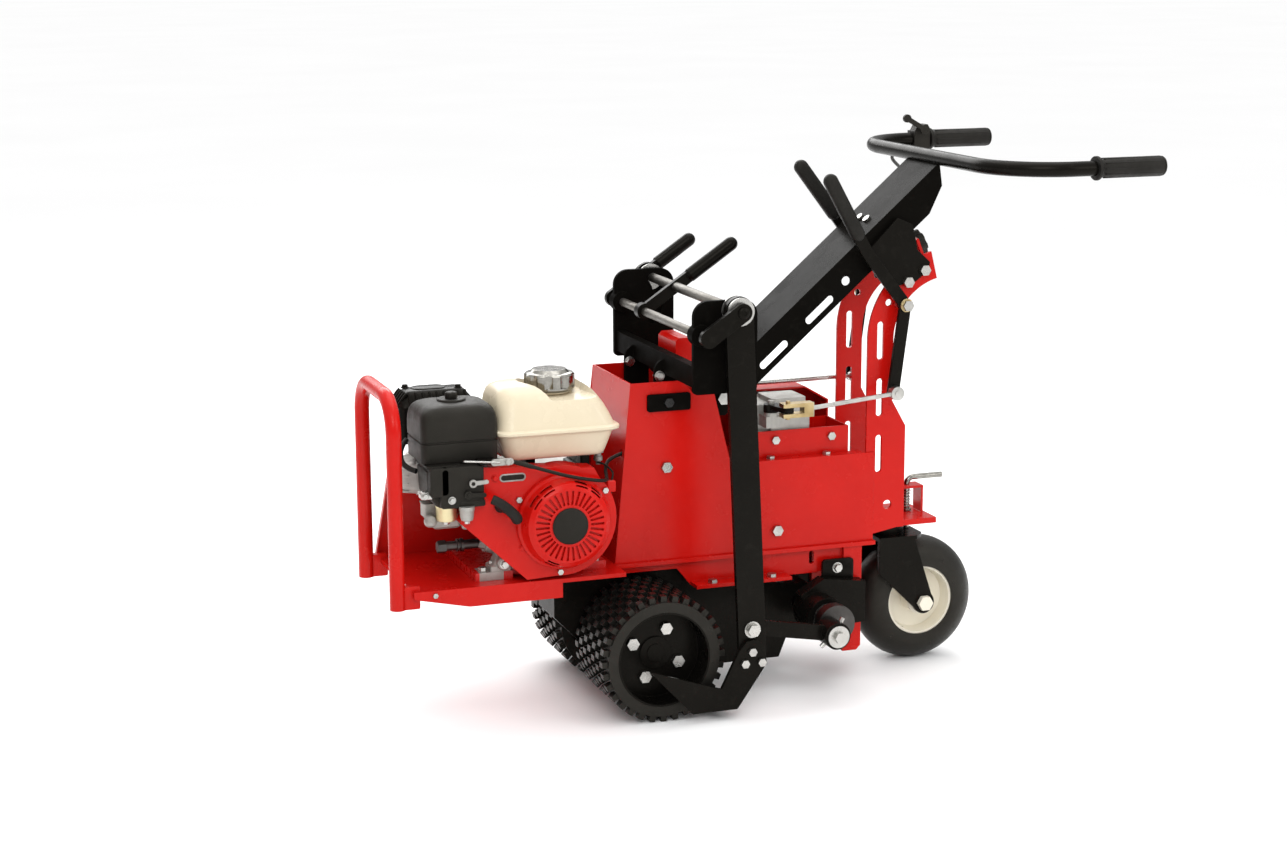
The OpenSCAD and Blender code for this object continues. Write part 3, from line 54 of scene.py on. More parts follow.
MM = 0.001
UP = (0, 0, 1)
DOWN = (0, 0, -1)
NEAR = (0, -1, 0)
FRONT = (-1, 0, 0)
axle_low, axle_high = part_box("drive_axle")
axle_x = (axle_low.x + axle_high.x) / 2


def at(x, y, z):
    """A point measured in millimetres from the ground under the middle of the drive axle."""
    return Vector((axle_x + x * MM, y * MM, z * MM))


# Camera

CAMERA_AT = (-1.49406, -3.71048, 1.27708)
CAMERA_TURN = -0.34407
CAMERA_TILT = 0.20565
CAMERA_ROLL = -0.00261
CAMERA_REACH = 400
PHOTO_WIDTH = 1287
FOCAL_PIXELS = 2378.29
SENSOR = 36


def add_camera():
    """The camera at the photograph's viewing angle."""
    data = bpy.data.cameras.new("camera")
    data.sensor_width = SENSOR
    data.lens = FOCAL_PIXELS / PHOTO_WIDTH * SENSOR
    data.clip_end = CAMERA_REACH
    camera = bpy.data.objects.new("camera", data)
    scene.collection.objects.link(camera)
    right = Vector((math.cos(CAMERA_TURN), math.sin(CAMERA_TURN), 0))
    level = math.cos(CAMERA_TILT)
    back = Vector((math.sin(CAMERA_TURN) * level, -math.cos(CAMERA_TURN) * level, math.sin(CAMERA_TILT)))
    up = back.cross(right)
    turned = math.cos(CAMERA_ROLL) * right + math.sin(CAMERA_ROLL) * up
    upright = math.cos(CAMERA_ROLL) * up - math.sin(CAMERA_ROLL) * right
    turn = Matrix((turned, upright, back)).transposed().to_4x4()
    camera.matrix_world = Matrix.Translation(CAMERA_AT) @ turn
    scene.camera = camera


add_camera()


# Materials


class Finish:
    """One procedural material. Its pattern keeps to the place of the surface on the machine at rest."""

    def __init__(self, name, **sockets):
        self.mat = bpy.data.materials.new(name)
        self.mat.use_nodes = True
        self.tree = self.mat.node_tree
        self.shader = self.tree.nodes["Principled BSDF"]
        self.place = self.made("ShaderNodeTexCoord", {}).outputs["Object"]
        for socket, value in sockets.items():
            self.shader.inputs[socket.replace("_", " ")].default_value = value

    def made(self, kind, inputs, **settings):
        """A new node with its settings and its inputs, each input an output of another node or a constant."""
        node = self.tree.nodes.new(kind)
        for key, value in settings.items():
            setattr(node, key, value)
        for key, value in inputs.items():
            if isinstance(value, bpy.types.NodeSocket):
                self.tree.links.new(value, node.inputs[key])
            else:
                node.inputs[key].default_value = value
        return node

    def stretched(self, scale):
        """The place, stretched by a factor along each axis."""
        return self.made("ShaderNodeMapping", {"Vector": self.place, "Scale": scale}).outputs["Vector"]

    def noise(self, scale, detail=3.0, rough=0.55, place=None):
        """A cloudy value about 0.5."""
        inputs = {"Vector": place or self.place, "Scale": scale, "Detail": detail, "Roughness": rough}
        return self.made("ShaderNodeTexNoise", inputs).outputs["Fac"]

    def cells(self, scale):
        """The distance to the nearest of many scattered points."""
        inputs = {"Vector": self.place, "Scale": scale}
        return self.made("ShaderNodeTexVoronoi", inputs, feature="F1").outputs["Distance"]

    def span(self, value, low, high, from_low=0.3, from_high=0.7):
        """Maps a value's range to another one."""
        inputs = {"Value": value, "From Min": from_low, "From Max": from_high, "To Min": low, "To Max": high}
        return self.made("ShaderNodeMapRange", inputs).outputs["Result"]

    def maths(self, operation, a, b):
        """A number from two others."""
        return self.made("ShaderNodeMath", {0: a, 1: b}, operation=operation).outputs["Value"]

    def vectors(self, operation, a, b):
        """A number from two vectors."""
        return self.made("ShaderNodeVectorMath", {0: a, 1: b}, operation=operation).outputs["Value"]

    def along(self, direction):
        """The distance of the place along a direction."""
        return self.vectors("DOT_PRODUCT", self.place, direction)

    def between(self, value, shades, start=0.3):
        """A colour that turns from one shade to another about the middle of a value's range."""
        node = self.made("ShaderNodeValToRGB", {"Fac": value})
        for element, position, shade in zip(node.color_ramp.elements, (start, 1 - start), shades):
            element.position = position
            element.color = (*shade, 1)
        return node.outputs["Color"]

    def mix(self, share, a, b):
        """Mixes two colours, each an output or three numbers."""
        a, b = ((*c, 1) if isinstance(c, tuple) else c for c in (a, b))
        return self.made("ShaderNodeMix", {0: share, 6: a, 7: b}, data_type="RGBA").outputs[2]

    def soft_edges(self, radius):
        """The normal with every sharp edge rounded by a radius."""
        return self.made("ShaderNodeBevel", {"Radius": radius}, samples=4).outputs["Normal"]

    def edge_share(self, normal, spread):
        """A share that is 0 on the open surface and rises to 1 at its sharp edges."""
        true = self.made("ShaderNodeNewGeometry", {}).outputs["True Normal"]
        return self.span(self.vectors("DOT_PRODUCT", normal, true), 0.0, 1.0, 1.0 - 0.02, 1.0 - spread)

    def bump(self, height, distance, normal=None):
        """A normal roughened by a height, on top of another normal where one is given."""
        inputs = {"Height": height, "Distance": distance}
        if normal:
            inputs["Normal"] = normal
        return self.made("ShaderNodeBump", inputs).outputs["Normal"]

    def done(self, colour, rough, normal, metallic=None):
        """The material with its shader's inputs linked."""
        outputs = {"Base Color": colour, "Roughness": rough, "Normal": normal, "Metallic": metallic}
        for key, output in outputs.items():
            if output:
                self.tree.links.new(output, self.shader.inputs[key])
        return self.mat


# WARM and WARM_RED tint the reflections of several finishes: a painted warm light colour on their highlights.
WARM = (1, 0.93, 0.80)
WARM_RED = (1, 0.84, 0.78)
PLATE_EDGE = 0.0006
CAST_EDGE = 0.0016
COAT_START = 0.32
BLACK_SHADES = ((0.0034, 0.0030, 0.0025), (0.0058, 0.0052, 0.0044))
BLACK_EDGE = (0.04, 0.036, 0.030)
BLACK_OXIDE = (0.006, 0.0055, 0.005)
RED_SHADES = ((0.48, 0.0045, 0.0025), (0.55, 0.0065, 0.004))
CREAM_SHADES = ((0.66, 0.57, 0.41), (0.71, 0.62, 0.46))
IVORY_SHADES = ((0.76, 0.71, 0.58), (0.82, 0.77, 0.65))
ZINC_SHADES = ((0.36, 0.355, 0.335), (0.58, 0.57, 0.54))
CLEVIS_SHADES = ((0.38, 0.27, 0.12), (0.60, 0.48, 0.26))
CAST_SHADES = ((0.26, 0.25, 0.23), (0.46, 0.45, 0.42))
CHROME_SHADES = ((0.20, 0.19, 0.17), (0.34, 0.33, 0.30))


def paint(name, shades, edge, rough, gloss, peel=0.0001, radius=0.0011, sheen=(1, 1, 1)):
    """Powder coat: cloudy colour, a slight orange peel, and rounded edges made paler by wear and a painted
    highlight.
    """
    f = Finish(name, Specular_IOR_Level=gloss, Specular_Tint=(*sheen, 1))
    normal = f.soft_edges(radius)
    cloud = f.between(f.noise(7, 4), shades, COAT_START)
    dust = f.span(f.noise(60, 5, 0.7), 0, 0.16, 0.55, 0.8)
    # Paler edges: partly wear, partly a painted highlight where the edges catch the light.
    paler_edge = f.maths("MULTIPLY", f.edge_share(normal, 0.35), f.span(f.noise(160, 3), 0.05, 0.55))
    colour = f.mix(paler_edge, f.mix(dust, cloud, edge), edge)
    rub = f.span(f.noise(23, 4), rough - 0.05, rough + 0.08)
    return f.done(colour, rub, f.bump(f.noise(900, 2), peel, normal))


def metal(name, shades, rough, grain, stretch=(1, 1, 1)):
    """Bare or plated metal with a fine grain and a cloudy shade."""
    f = Finish(name, Metallic=1.0)
    fine = f.noise(700, 3, 0.6, f.stretched(stretch))
    colour = f.mix(f.span(fine, 0, 0.5), f.between(f.noise(40, 4), shades), shades[1])
    rub = f.maths("ADD", f.span(f.noise(30, 4), rough - 0.08, rough + 0.1), f.span(fine, -0.05, 0.05))
    return f.done(colour, rub, f.bump(fine, grain, f.soft_edges(PLATE_EDGE)))


def plastic(name, shades, rough, grain):
    """Moulded plastic with a fine leathery grain and paler scuffs on its edges."""
    f = Finish(name, Specular_IOR_Level=0.22, Specular_Tint=(*WARM, 1))
    normal = f.soft_edges(0.0012)
    paler_edge = f.maths("MULTIPLY", f.edge_share(normal, 0.4), f.span(f.noise(200, 3), 0.0, 0.5))
    scuff = tuple(3 * c + 0.01 for c in shades[1])
    colour = f.mix(paler_edge, f.between(f.noise(18, 4), shades), scuff)
    rub = f.span(f.noise(40, 4), rough - 0.06, rough + 0.08)
    return f.done(colour, rub, f.bump(f.cells(1400), grain, normal))


def rubber(name, shades, rough, gloss):
    """Rubber: dark, dull, with a mould skin and pale dust in its hollows."""
    f = Finish(name, Specular_IOR_Level=gloss, Specular_Tint=(*WARM, 1))
    dusty = tuple(5 * c + 0.01 for c in shades[1])
    share = f.span(f.noise(55, 5, 0.7), 0, 0.1, 0.5, 0.8)
    colour = f.mix(share, f.between(f.noise(14, 4), shades), dusty)
    rub = f.span(f.noise(70, 4), rough - 0.08, rough + 0.1)
    return f.done(colour, rub, f.bump(f.noise(1100, 3, 0.65), 0.0004, f.soft_edges(0.0009)))


def chromed(name):
    """Bright plating with faint swirls."""
    f = Finish(name, Metallic=1.0)
    swirl = f.noise(120, 5, 0.7)
    normal = f.bump(f.noise(260, 3), 0.0003, f.soft_edges(0.0012))
    return f.done(f.between(swirl, CHROME_SHADES), f.span(swirl, 0.07, 0.2), normal)


def plated_normal(f):
    """The normal of fine-grained plating."""
    return f.bump(f.noise(700, 3, 0.6), 0.0002, f.soft_edges(PLATE_EDGE))


def two_plated(name, start, end):
    """Zinc plate that turns to yellow zinc towards the machine's front, between two places along X."""
    f = Finish(name, Metallic=1.0)
    white = f.between(f.noise(40, 4), ZINC_SHADES)
    yellow = f.between(f.noise(40, 4), CLEVIS_SHADES)
    colour = f.mix(f.span(f.along((1, 0, 0)), 0.0, 1.0, start, end), yellow, white)
    return f.done(colour, f.span(f.noise(30, 4), 0.24, 0.4), plated_normal(f))


def one_blackened(name, spot, reach):
    """Zinc plate, with the one bolt about a spot black."""
    f = Finish(name)
    white = f.between(f.noise(40, 4), ZINC_SHADES)
    black = f.maths("LESS_THAN", f.vectors("DISTANCE", f.place, spot), reach)
    rub = f.span(f.noise(30, 4), 0.19, 0.37)
    return f.done(f.mix(black, white, BLACK_OXIDE), rub, plated_normal(f), f.span(black, 1.0, 0.0, 0.0, 1.0))


def cast_skin(f):
    """The pits, the grey shade and the roughness of sand-cast alloy."""
    pits = f.noise(650, 4, 0.7)
    grey = f.mix(f.span(pits, 0, 0.6), f.between(f.noise(25, 5), CAST_SHADES), CAST_SHADES[1])
    return pits, grey, f.span(f.noise(90, 4), 0.38, 0.6)


def cast(name):
    """Sand-cast alloy: grey, with pits and a dull skin."""
    f = Finish(name, Metallic=0.75)
    pits, grey, rub = cast_skin(f)
    return f.done(grey, rub, f.bump(pits, 0.0006, f.soft_edges(CAST_EDGE)))


def cast_on_rails(name, level, side, start, end):
    """Cast alloy that is painted red below a level, beyond a side and past both ends of the near foot."""
    f = Finish(name)
    pits, grey, rub = cast_skin(f)
    red = f.between(f.noise(7, 4), RED_SHADES, COAT_START)
    low = f.maths("LESS_THAN", f.along((0, 0, 1)), level)
    far = f.maths("GREATER_THAN", f.along((0, 1, 0)), side)
    before = f.maths("LESS_THAN", f.along((1, 0, 0)), start)
    behind = f.maths("GREATER_THAN", f.along((1, 0, 0)), end)
    beyond = f.maths("MAXIMUM", far, f.maths("MAXIMUM", before, behind))
    painted = f.maths("MULTIPLY", low, beyond)
    rub = f.maths("SUBTRACT", rub, f.maths("MULTIPLY", painted, 0.2))
    normal = f.bump(pits, 0.0004, f.soft_edges(CAST_EDGE))
    return f.done(f.mix(painted, grey, red), rub, normal, f.span(painted, 0.75, 0.0, 0.0, 1.0))


RED = paint("red_paint", RED_SHADES, (0.72, 0.03, 0.02), 0.22, 0.22, sheen=WARM_RED)
BLACK = paint("black_paint", BLACK_SHADES, BLACK_EDGE, 0.26, 0.085, sheen=WARM)
SATIN = paint("satin_black", BLACK_SHADES, (0.03, 0.027, 0.022), 0.42, 0.006)
POST = paint("post_black", BLACK_SHADES, BLACK_EDGE, 0.24, 0.015, sheen=WARM)
CREAM = paint("cream_paint", CREAM_SHADES, (0.84, 0.77, 0.62), 0.24, 0.32, peel=0.00008, radius=0.002)
IVORY = paint("ivory_paint", IVORY_SHADES, (0.9, 0.86, 0.76), 0.3, 0.3)
ZINC = metal("zinc_plate", ZINC_SHADES, 0.27, 0.0002)
STEEL = metal("bare_steel", ((0.36, 0.35, 0.34), (0.56, 0.55, 0.53)), 0.36, 0.0003, (1, 12, 1))
ROD = metal("ground_rod", ((0.12, 0.112, 0.098), (0.21, 0.198, 0.178)), 0.4, 0.0002, (12, 1, 12))
DARK = metal("dark_steel", ((0.05, 0.047, 0.044), (0.10, 0.095, 0.09)), 0.4, 0.0003)
BRASS = metal("yellow_zinc", ((0.40, 0.29, 0.13), (0.60, 0.48, 0.26)), 0.3, 0.0002)
BOWL = metal("carburettor_bowl", ((0.60, 0.52, 0.28), (0.74, 0.66, 0.42)), 0.42, 0.0002)
CAST = cast("cast_alloy")
PLASTIC = plastic("black_plastic", ((0.0072, 0.0066, 0.0056), (0.012, 0.011, 0.0094)), 0.4, 0.0003)
GRIP = rubber("grip_rubber", ((0.006, 0.006, 0.006), (0.011, 0.0105, 0.010)), 0.5, 0.2)
TYRE = rubber("tyre_rubber", ((0.004, 0.0038, 0.0033), (0.008, 0.0076, 0.0068)), 0.34, 0.3)
CHROME = chromed("chrome_plate")
RAILED = cast_on_rails("cast_alloy_on_red_rails", at(0, 0, 254.6).z, at(0, -62, 0).y,
                       at(-283, 0, 0).x, at(-242, 0, 0).x)
PLATE_BOLT_OUT = 9 * MM
plate_bolt = Vector((at(53, 0, 0).x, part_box("side_plates")[0].y - PLATE_BOLT_OUT, at(0, 0, 511).z))
BOLTS = one_blackened("frame_bolt_plate", plate_bolt, 0.02)
CLEVIS = two_plated("clevis_plate", at(300, 0, 0).x, at(303, 0, 0).x)

NODE_FINISH = {
    RED: "main_deck frame_rails bumper side_plates guard_front belt_guard tower tray mast_frame fan_shroud "
         "recoil_cover",
    SATIN: "hanger_frame",
    POST: "handle_post",
    BLACK: "post_brackets handlebar axle_hangers chain_case eccentric_bearings muffler drive_axle "
           "depth_levers cutter_arms blade links drive_lever shift_arm clutch_lever caster_fork",
    BOLTS: "frame_bolts",
    ZINC: "wheel_bolts hanger_rod cutter_bolts link_caps clutch_rod lock_spring",
    CLEVIS: "drive_rod",
    DARK: "eccentric_shaft",
    STEEL: "engine_pulley input_pulley idler_arm",
    CAST: "gearbox carburettor choke_lever",
    RAILED: "engine_block",
    CREAM: "fuel_tank",
    IVORY: "caster_rim",
    CHROME: "fuel_cap lock_pin",
    PLASTIC: "throttle_box recoil_disc air_cleaner throttle_cable throttle_lever clamp_knob fuel_lever",
    GRIP: "handle_grips starter_grip drive_belt",
    TYRE: "drive_tyres caster_tyre",
}
for finish, names in NODE_FINISH.items():
    for name in names.split():
        nodes[name].data.materials.clear()
        nodes[name].data.materials.append(finish)


# Mesh helpers


def as_mesh(name, bm):
    """A mesh from a built one, with its faces turned outwards."""
    bmesh.ops.recalc_face_normals(bm, faces=bm.faces)
    data = bpy.data.meshes.new(name)
    bm.to_mesh(data)
    bm.free()
    return data


def add_piece(name, mesh, finish, body="frame", smooth_angle=40):
    """Puts a mesh into the scene as a piece that moves with a body."""
    if isinstance(mesh, bmesh.types.BMesh):
        mesh = as_mesh(name, mesh)
    mesh.shade_smooth()
    mesh.set_sharp_from_angle(angle=math.radians(smooth_angle))
    mesh.materials.append(finish)
    made = bpy.data.objects.new(name, mesh)
    scene.collection.objects.link(made)
    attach(made, body)
    return made


def loft(rings, bm=None):
    """Skins rings of equally many points, and closes both ends."""
    bm = bm or bmesh.new()
    rows = [[bm.verts.new(p) for p in ring] for ring in rings]
    count = len(rows[0])
    for a, b in zip(rows, rows[1:]):
        for i in range(count):
            j = (i + 1) % count
            bm.faces.new((a[i], a[j], b[j], b[i]))
    bm.faces.new(rows[0][::-1])
    bm.faces.new(rows[-1])
    return bm


def unit(a):
    """The direction at an angle in a plane."""
    return Vector((math.cos(a), math.sin(a)))


def round_rect(x0, x1, y0, y1, r, steps):
    """The points of a rectangle with round corners, in a plane."""
    points = []
    corners = ((x1 - r, y1 - r), (x0 + r, y1 - r), (x0 + r, y0 + r), (x1 - r, y0 + r))
    for quarter, (cx, cy) in enumerate(corners):
        for k in range(steps + 1):
            a = math.radians(90 * quarter + 90 * k / steps)
            points.append((cx + r * math.cos(a), cy + r * math.sin(a)))
    return points


def route(places, steps):
    """A smooth curve through places given in millimetres, as more points."""
    points = [at(*p) for p in places]
    last = len(points) - 1
    made = []
    for i in range(last):
        a, b, c, d = points[max(i - 1, 0)], points[i], points[i + 1], points[min(i + 2, last)]
        for k in range(steps):
            t = k / steps
            square = (2 * a - 5 * b + 4 * c - d) * t ** 2
            cube = (3 * b - a - 3 * c + d) * t ** 3
            made.append(0.5 * (2 * b + (c - a) * t + square + cube))
    return made + [points[-1]]


def swept_rings(path, radii, sides):
    """Rings of a tube along a path, each with its own radius, carried along without twisting."""
    rings, side = [], None
    for i, p in enumerate(path):
        ahead = (path[min(i + 1, len(path) - 1)] - path[max(i - 1, 0)]).normalized()
        if side is None:
            side = ahead.cross(Vector((0, 0, 1)) if abs(ahead.z) < 0.9 else Vector((1, 0, 0)))
        side = (side - side.dot(ahead) * ahead).normalized()
        other = ahead.cross(side)
        ring = []
        for k in range(sides):
            a = 2 * math.pi * k / sides
            ring.append(p + radii[i] * (math.cos(a) * side + math.sin(a) * other))
        rings.append(ring)
    return rings


def tube(path, radius, sides, bm=None):
    """A tube of one radius along a path."""
    return loft(swept_rings(path, [radius] * len(path), sides), bm)


def lathe(profile, origin, axis, steps=64, bm=None):
    """Turns a profile of (radius, height) pairs about an axis."""
    turn = Vector(UP).rotation_difference(Vector(axis)).to_matrix()
    rings = []
    for r, h in profile:
        angles = (2 * math.pi * k / steps for k in range(steps))
        rings.append([origin + turn @ Vector((r * math.cos(a), r * math.sin(a), h)) for a in angles])
    return loft(rings, bm)


WASHER_T = 0.0016
WASHER_BEVEL = 0.0004


def hex_head(bm, centre, axis, across, height, washer=0.0):
    """A bolt head with chamfered corners, on a thin washer where one is given."""
    if washer:
        r = washer / 2
        profile = [(r, 0), (r, WASHER_T - WASHER_BEVEL), (r - WASHER_BEVEL, WASHER_T), (0.001, WASHER_T)]
        lathe(profile, centre, axis, 32, bm)
        centre = centre + Vector(axis).normalized() * WASHER_T
    corner = across / 2 / math.cos(math.pi / 6)
    profile = [(corner, 0), (corner, 0.8 * height), (0.9 * corner, height), (0.3 * corner, height)]
    lathe(profile, centre, axis, 6, bm)


PLANES = {
    "x": lambda level, a, b: at(level, a, b),
    "y": lambda level, a, b: at(a, level, b),
    "z": lambda level, a, b: at(a, b, level),
}


def boxed(sections, bm=None, axis="z"):
    """Skins round-cornered rectangles: a level, two pairs of limits and a corner radius, in millimetres."""
    place = PLANES[axis]
    rings = []
    for level, a0, a1, b0, b1, r in sections:
        rings.append([place(level, a, b) for a, b in round_rect(a0, a1, b0, b1, r, 8)])
    return loft(rings, bm)


BAR_END_STEPS = 10
BAR_STEPS = 40


def flat_bar(line, y, half_w, half_t, corner, domed=False, bm=None):
    """A flat bar with soft edges along a bent line in the side view, round at both ends."""
    points = [Vector(p) for p in line]
    points[0] = points[0] - (points[1] - points[0]).normalized() * half_w
    points[-1] = points[-1] + (points[-1] - points[-2]).normalized() * half_w
    lengths = [(b - a).length for a, b in zip(points, points[1:])]
    total = sum(lengths)

    def place(s):
        s = min(max(s, 0), total)
        for a, b, length in zip(points, points[1:], lengths):
            if s <= length:
                return a + (b - a) * (s / length)
            s -= length
        return points[-1]

    ends = [half_w * (1 - math.cos(math.pi / 2 * k / BAR_END_STEPS)) for k in range(BAR_END_STEPS)]
    middle = [half_w + (total - 2 * half_w) * k / BAR_STEPS for k in range(BAR_STEPS + 1)]
    rings = []
    for s in ends + middle + [total - e for e in ends[::-1]]:
        near = min(s, total - s)
        reach = min(near, 0.7 * half_w)
        before, after = place(s - reach - 0.01), place(s + reach + 0.01)
        ahead = (after - before).normalized()
        centre = (before + after) / 2
        side = Vector((-ahead.y, ahead.x))
        share = math.sqrt(max(1 - max(1 - near / half_w, 0) ** 2, 0.0004))
        w = half_w * share
        t = half_t * (share ** 0.6 if domed else 1)
        ring = round_rect(-w, w, -t, t, min(corner, 0.98 * w, 0.98 * t), 6)
        rings.append([at(centre.x + u * side.x, y + v, centre.y + u * side.y) for u, v in ring])
    return loft(rings, bm)


def cut_away(mesh, cutter):
    """A mesh with another one cut out of it."""
    kept = bpy.data.objects.new("kept", mesh)
    tool = bpy.data.objects.new("tool", cutter)
    scene.collection.objects.link(kept)
    scene.collection.objects.link(tool)
    cut = kept.modifiers.new("cut", "BOOLEAN")
    cut.operation = "DIFFERENCE"
    cut.solver = "EXACT"
    cut.object = tool
    made = bpy.data.meshes.new_from_object(kept.evaluated_get(bpy.context.evaluated_depsgraph_get()))
    bpy.data.objects.remove(kept)
    bpy.data.objects.remove(tool)
    return made


# Throttle cable, repeated from the part's own route

CABLE_D = 6
CABLE_ROUTE = [
    (675, 293, 884), (650, 284, 884), (612, 252, 872), (590, 180, 862), (578, 110, 852), (566, 57, 845),
    (545, 0, 833), (510, -40, 822), (470, -47, 790), (400, -47, 729), (330, -47, 668), (260, -47, 607),
    (210, -48, 566), (180, -50, 545), (156, -51, 526), (130, -52, 505), (80, -52, 462), (30, -52, 438),
    (-22, -52, 425), (-48, -60, 416), (-61, -84, 407), (-69, -112, 402), (-80, -136, 402), (-110, -147, 408),
    (-150, -148, 418), (-190, -145, 431), (-235.4, -140, 446)]
FERRULE_SWELL = (0.3, 0.9, 1, 0.5, 1, 0.9, 0.2)


def add_cable():
    """The sheathed throttle cable, with a ferrule at each end."""
    path = route(CABLE_ROUTE, 8)
    cable = add_piece("cable_sheath", tube(path, CABLE_D / 2 * MM, 14), PLASTIC)
    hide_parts("throttle_cable")
    bm = bmesh.new()
    radii = [(CABLE_D / 2 + r) * MM for r in FERRULE_SWELL]
    count = len(radii)
    for end in (path[:count], path[:-count - 1:-1]):
        loft(swept_rings(end, radii, 14), bm)
    ferrules = add_piece("cable_ferrules", bm, PLASTIC)
    length = sum((b - a).length for a, b in zip(path, path[1:]))
    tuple(path[0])


add_cable()


# Lock spring

SPRING_WIRE = 0.0016
SPRING_TURNS = 7
SPRING_STEPS = 24 * SPRING_TURNS


def add_spring():
    """The wound spring between the lock pin's collar and its bracket."""
    low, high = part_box("lock_spring")
    centre = (low + high) / 2
    reach = (high.x - low.x) / 2 - SPRING_WIRE / 2
    height = high.z - low.z
    path = []
    for k in range(SPRING_STEPS + 1):
        share = k / SPRING_STEPS
        a = 2 * math.pi * SPRING_TURNS * share
        z = low.z + SPRING_WIRE / 2 + (height - SPRING_WIRE) * share
        path.append(Vector((centre.x + reach * math.cos(a), centre.y + reach * math.sin(a), z)))
    spring = add_piece("spring_coil", tube(path, SPRING_WIRE / 2, 10), ZINC)
    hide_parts("lock_spring")
    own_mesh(spring)


add_spring()


# Fuel tank, with its sections given by their height over the lip

TANK_LIP = 484
TANK_LONGER = 6
TANK_EVEN = [
    # the height, one inset for all four sides, the corner radius
    (-48, 44, 6), (-48, 30, 14), (-46.8, 25.5, 18), (-43.5, 21.8, 21), (-37, 19.2, 22), (-9, 10.4, 24),
    (-5.5, 8.6, 25), (-4, 6, 26), (-3.2, 1.6, 27), (-2, 0.3, 27), (0, 0, 27), (2, 0.3, 27), (3.1, 1.6, 26),
    (3.6, 4.2, 25)]
TANK_UPPER = [
    # the height, the inset on the left, right, near and far side, the corner radius
    (4.6, 6.6, 7, 7, 6.6, 24), (8, 7.6, 9, 8.6, 7.6, 24), (20, 8.6, 14, 12, 8.8, 25),
    (36, 9.6, 22, 17, 10.4, 27), (48, 11, 30, 22.5, 12.6, 28), (58, 13.8, 38, 30, 17, 28),
    (64.5, 18, 46, 38, 23.5, 28), (69, 25, 56, 48, 33, 27), (71.4, 36, 68, 61, 46, 22),
    (72, 58, 82, 74, 60, 12)]
CAP_AT = (-140, -30)
DISH_FLOOR = 537
DISH_R = 49
DISH_FALL = 0.11


def tank_dish():
    """The hollow about the filler: round behind, and running out over the near shoulder."""
    cx, cy = CAP_AT
    angles = [math.radians(a) for a in range(-14, 195, 8)]
    outline = [(cx + DISH_R * math.cos(a), cy + DISH_R * math.sin(a)) for a in angles]
    outline += [(cx - 44, cy - 22), (cx - 12, -104), (cx - 2, -128), (cx + 78, -128), (cx + 72, -104)]
    rings = []
    for grow, rise in ((0, 0), (1.5, 2), (5, 12), (9, 40)):
        ring = []
        for x, y in outline:
            out = Vector((x - cx, y - cy)).normalized() * grow
            floor = DISH_FLOOR - max(cy - 20 - y, 0) * DISH_FALL
            ring.append(at(x + out.x, y + out.y, floor + rise))
        rings.append(ring)
    return as_mesh("dish", loft(rings))


def add_tank():
    """The pressed tank: a tapered lower half, a seam lip and a soft upper half cut by the filler's dish."""
    low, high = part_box("fuel_tank")
    lip = at(0, 0, TANK_LIP).z
    high = high + Vector((TANK_LONGER * MM, 0, 0))
    sections = [(rise, d, d, d, d, r) for rise, d, r in TANK_EVEN] + TANK_UPPER
    rings = []
    for rise, left, right, near, far, r in sections:
        ring = round_rect(low.x + left * MM, high.x - right * MM, low.y + near * MM, high.y - far * MM,
                          r * MM, 12)
        rings.append([Vector((x, y, lip + rise * MM)) for x, y in ring])
    shell = cut_away(as_mesh("shell", loft(rings)), tank_dish())
    tank = add_piece("tank_shell", shell, CREAM, smooth_angle=34)
    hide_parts("fuel_tank")
    neck = at(*CAP_AT, DISH_FLOOR - 2)
    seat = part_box("fuel_cap")[0].z - neck.z
    bm = lathe([(0.034, 0), (0.0365, seat - 0.0024), (0.0355, seat - 0.0008), (0.019, seat - 0.0006),
                (0.0188, seat + 0.011), (0.0165, seat + 0.0125)], neck, UP)
    add_piece("filler_neck", bm, CREAM)
    bm = bmesh.new()
    for x in (-190, -96):
        boxed([(404, x - 6, x + 22, -60, 20, 2), (408, x - 6, x + 22, -60, 20, 2),
               (410, x, x + 16, -58, 18, 2), (438, x, x + 16, -58, 18, 2),
               (442, x - 4, x + 20, -58, 18, 2)], bm)
    add_piece("tank_feet", bm, BLACK)
    bm = lathe([(0.004, 0), (0.0045, 0.006), (0.0075, 0.007), (0.0075, 0.014), (0.0055, 0.015),
                (0.0055, 0.019), (0.009, 0.02), (0.009, 0.03)], at(-66, -60, 412), UP, 24)
    add_piece("tank_fitting", bm, CAST)


add_tank()


# Air cleaner and what hangs on it

AIR_X0, AIR_X1, AIR_Y0, AIR_Y1 = -380, -250, -116, -6
INTAKE_Y = -138
COVER_SECTIONS = [
    # the height, the inset, the corner radius
    (444, 4, 12), (445.5, 2.2, 13), (447, 1.6, 14), (477, 1.0, 15), (478, 2.8, 14), (480, 2.8, 14),
    (481, 0.8, 15), (500, 0.6, 15), (512, 1.2, 15), (521, 2.8, 16), (528.5, 6.2, 18), (533.6, 11, 21),
    (536.4, 17, 24), (537.2, 27, 24)]
HOUSING_SECTIONS = [
    # the height, the left side, the inset
    (374, -354, 6), (375, -357, 3), (378, -359, 0), (386, -366, 0), (396, -373, 0), (436, -375.5, 0),
    (438, -374, 1.6), (440, -374, 1.6), (441, -375.5, 0), (445, -375.5, 0)]
DUCT_SECTIONS = [(-112, 0, 6), (-134.5, 0, 6), (-136.8, 0.9, 6), (INTAKE_Y, 3.2, 5)]
KNOB_RIM = [(0.0235, 0), (0.0235, 0.0026), (0.0222, 0.0042), (0.0165, 0.0046), (0.0145, 0.0034),
            (0.011, 0.0034)]
KNOB_PROFILE = [(8.4, 3), (9.4, 4.2), (9.6, 11.4), (8.8, 13.6), (6.6, 14.8), (2, 15.2)]
KNOB_STEPS = 48
HOSE_ROUTE = [(-385, -36, 472), (-393, -44, 466), (-400, -55, 455), (-400, -67, 442), (-392, -78, 434),
              (-383, -88, 431)]
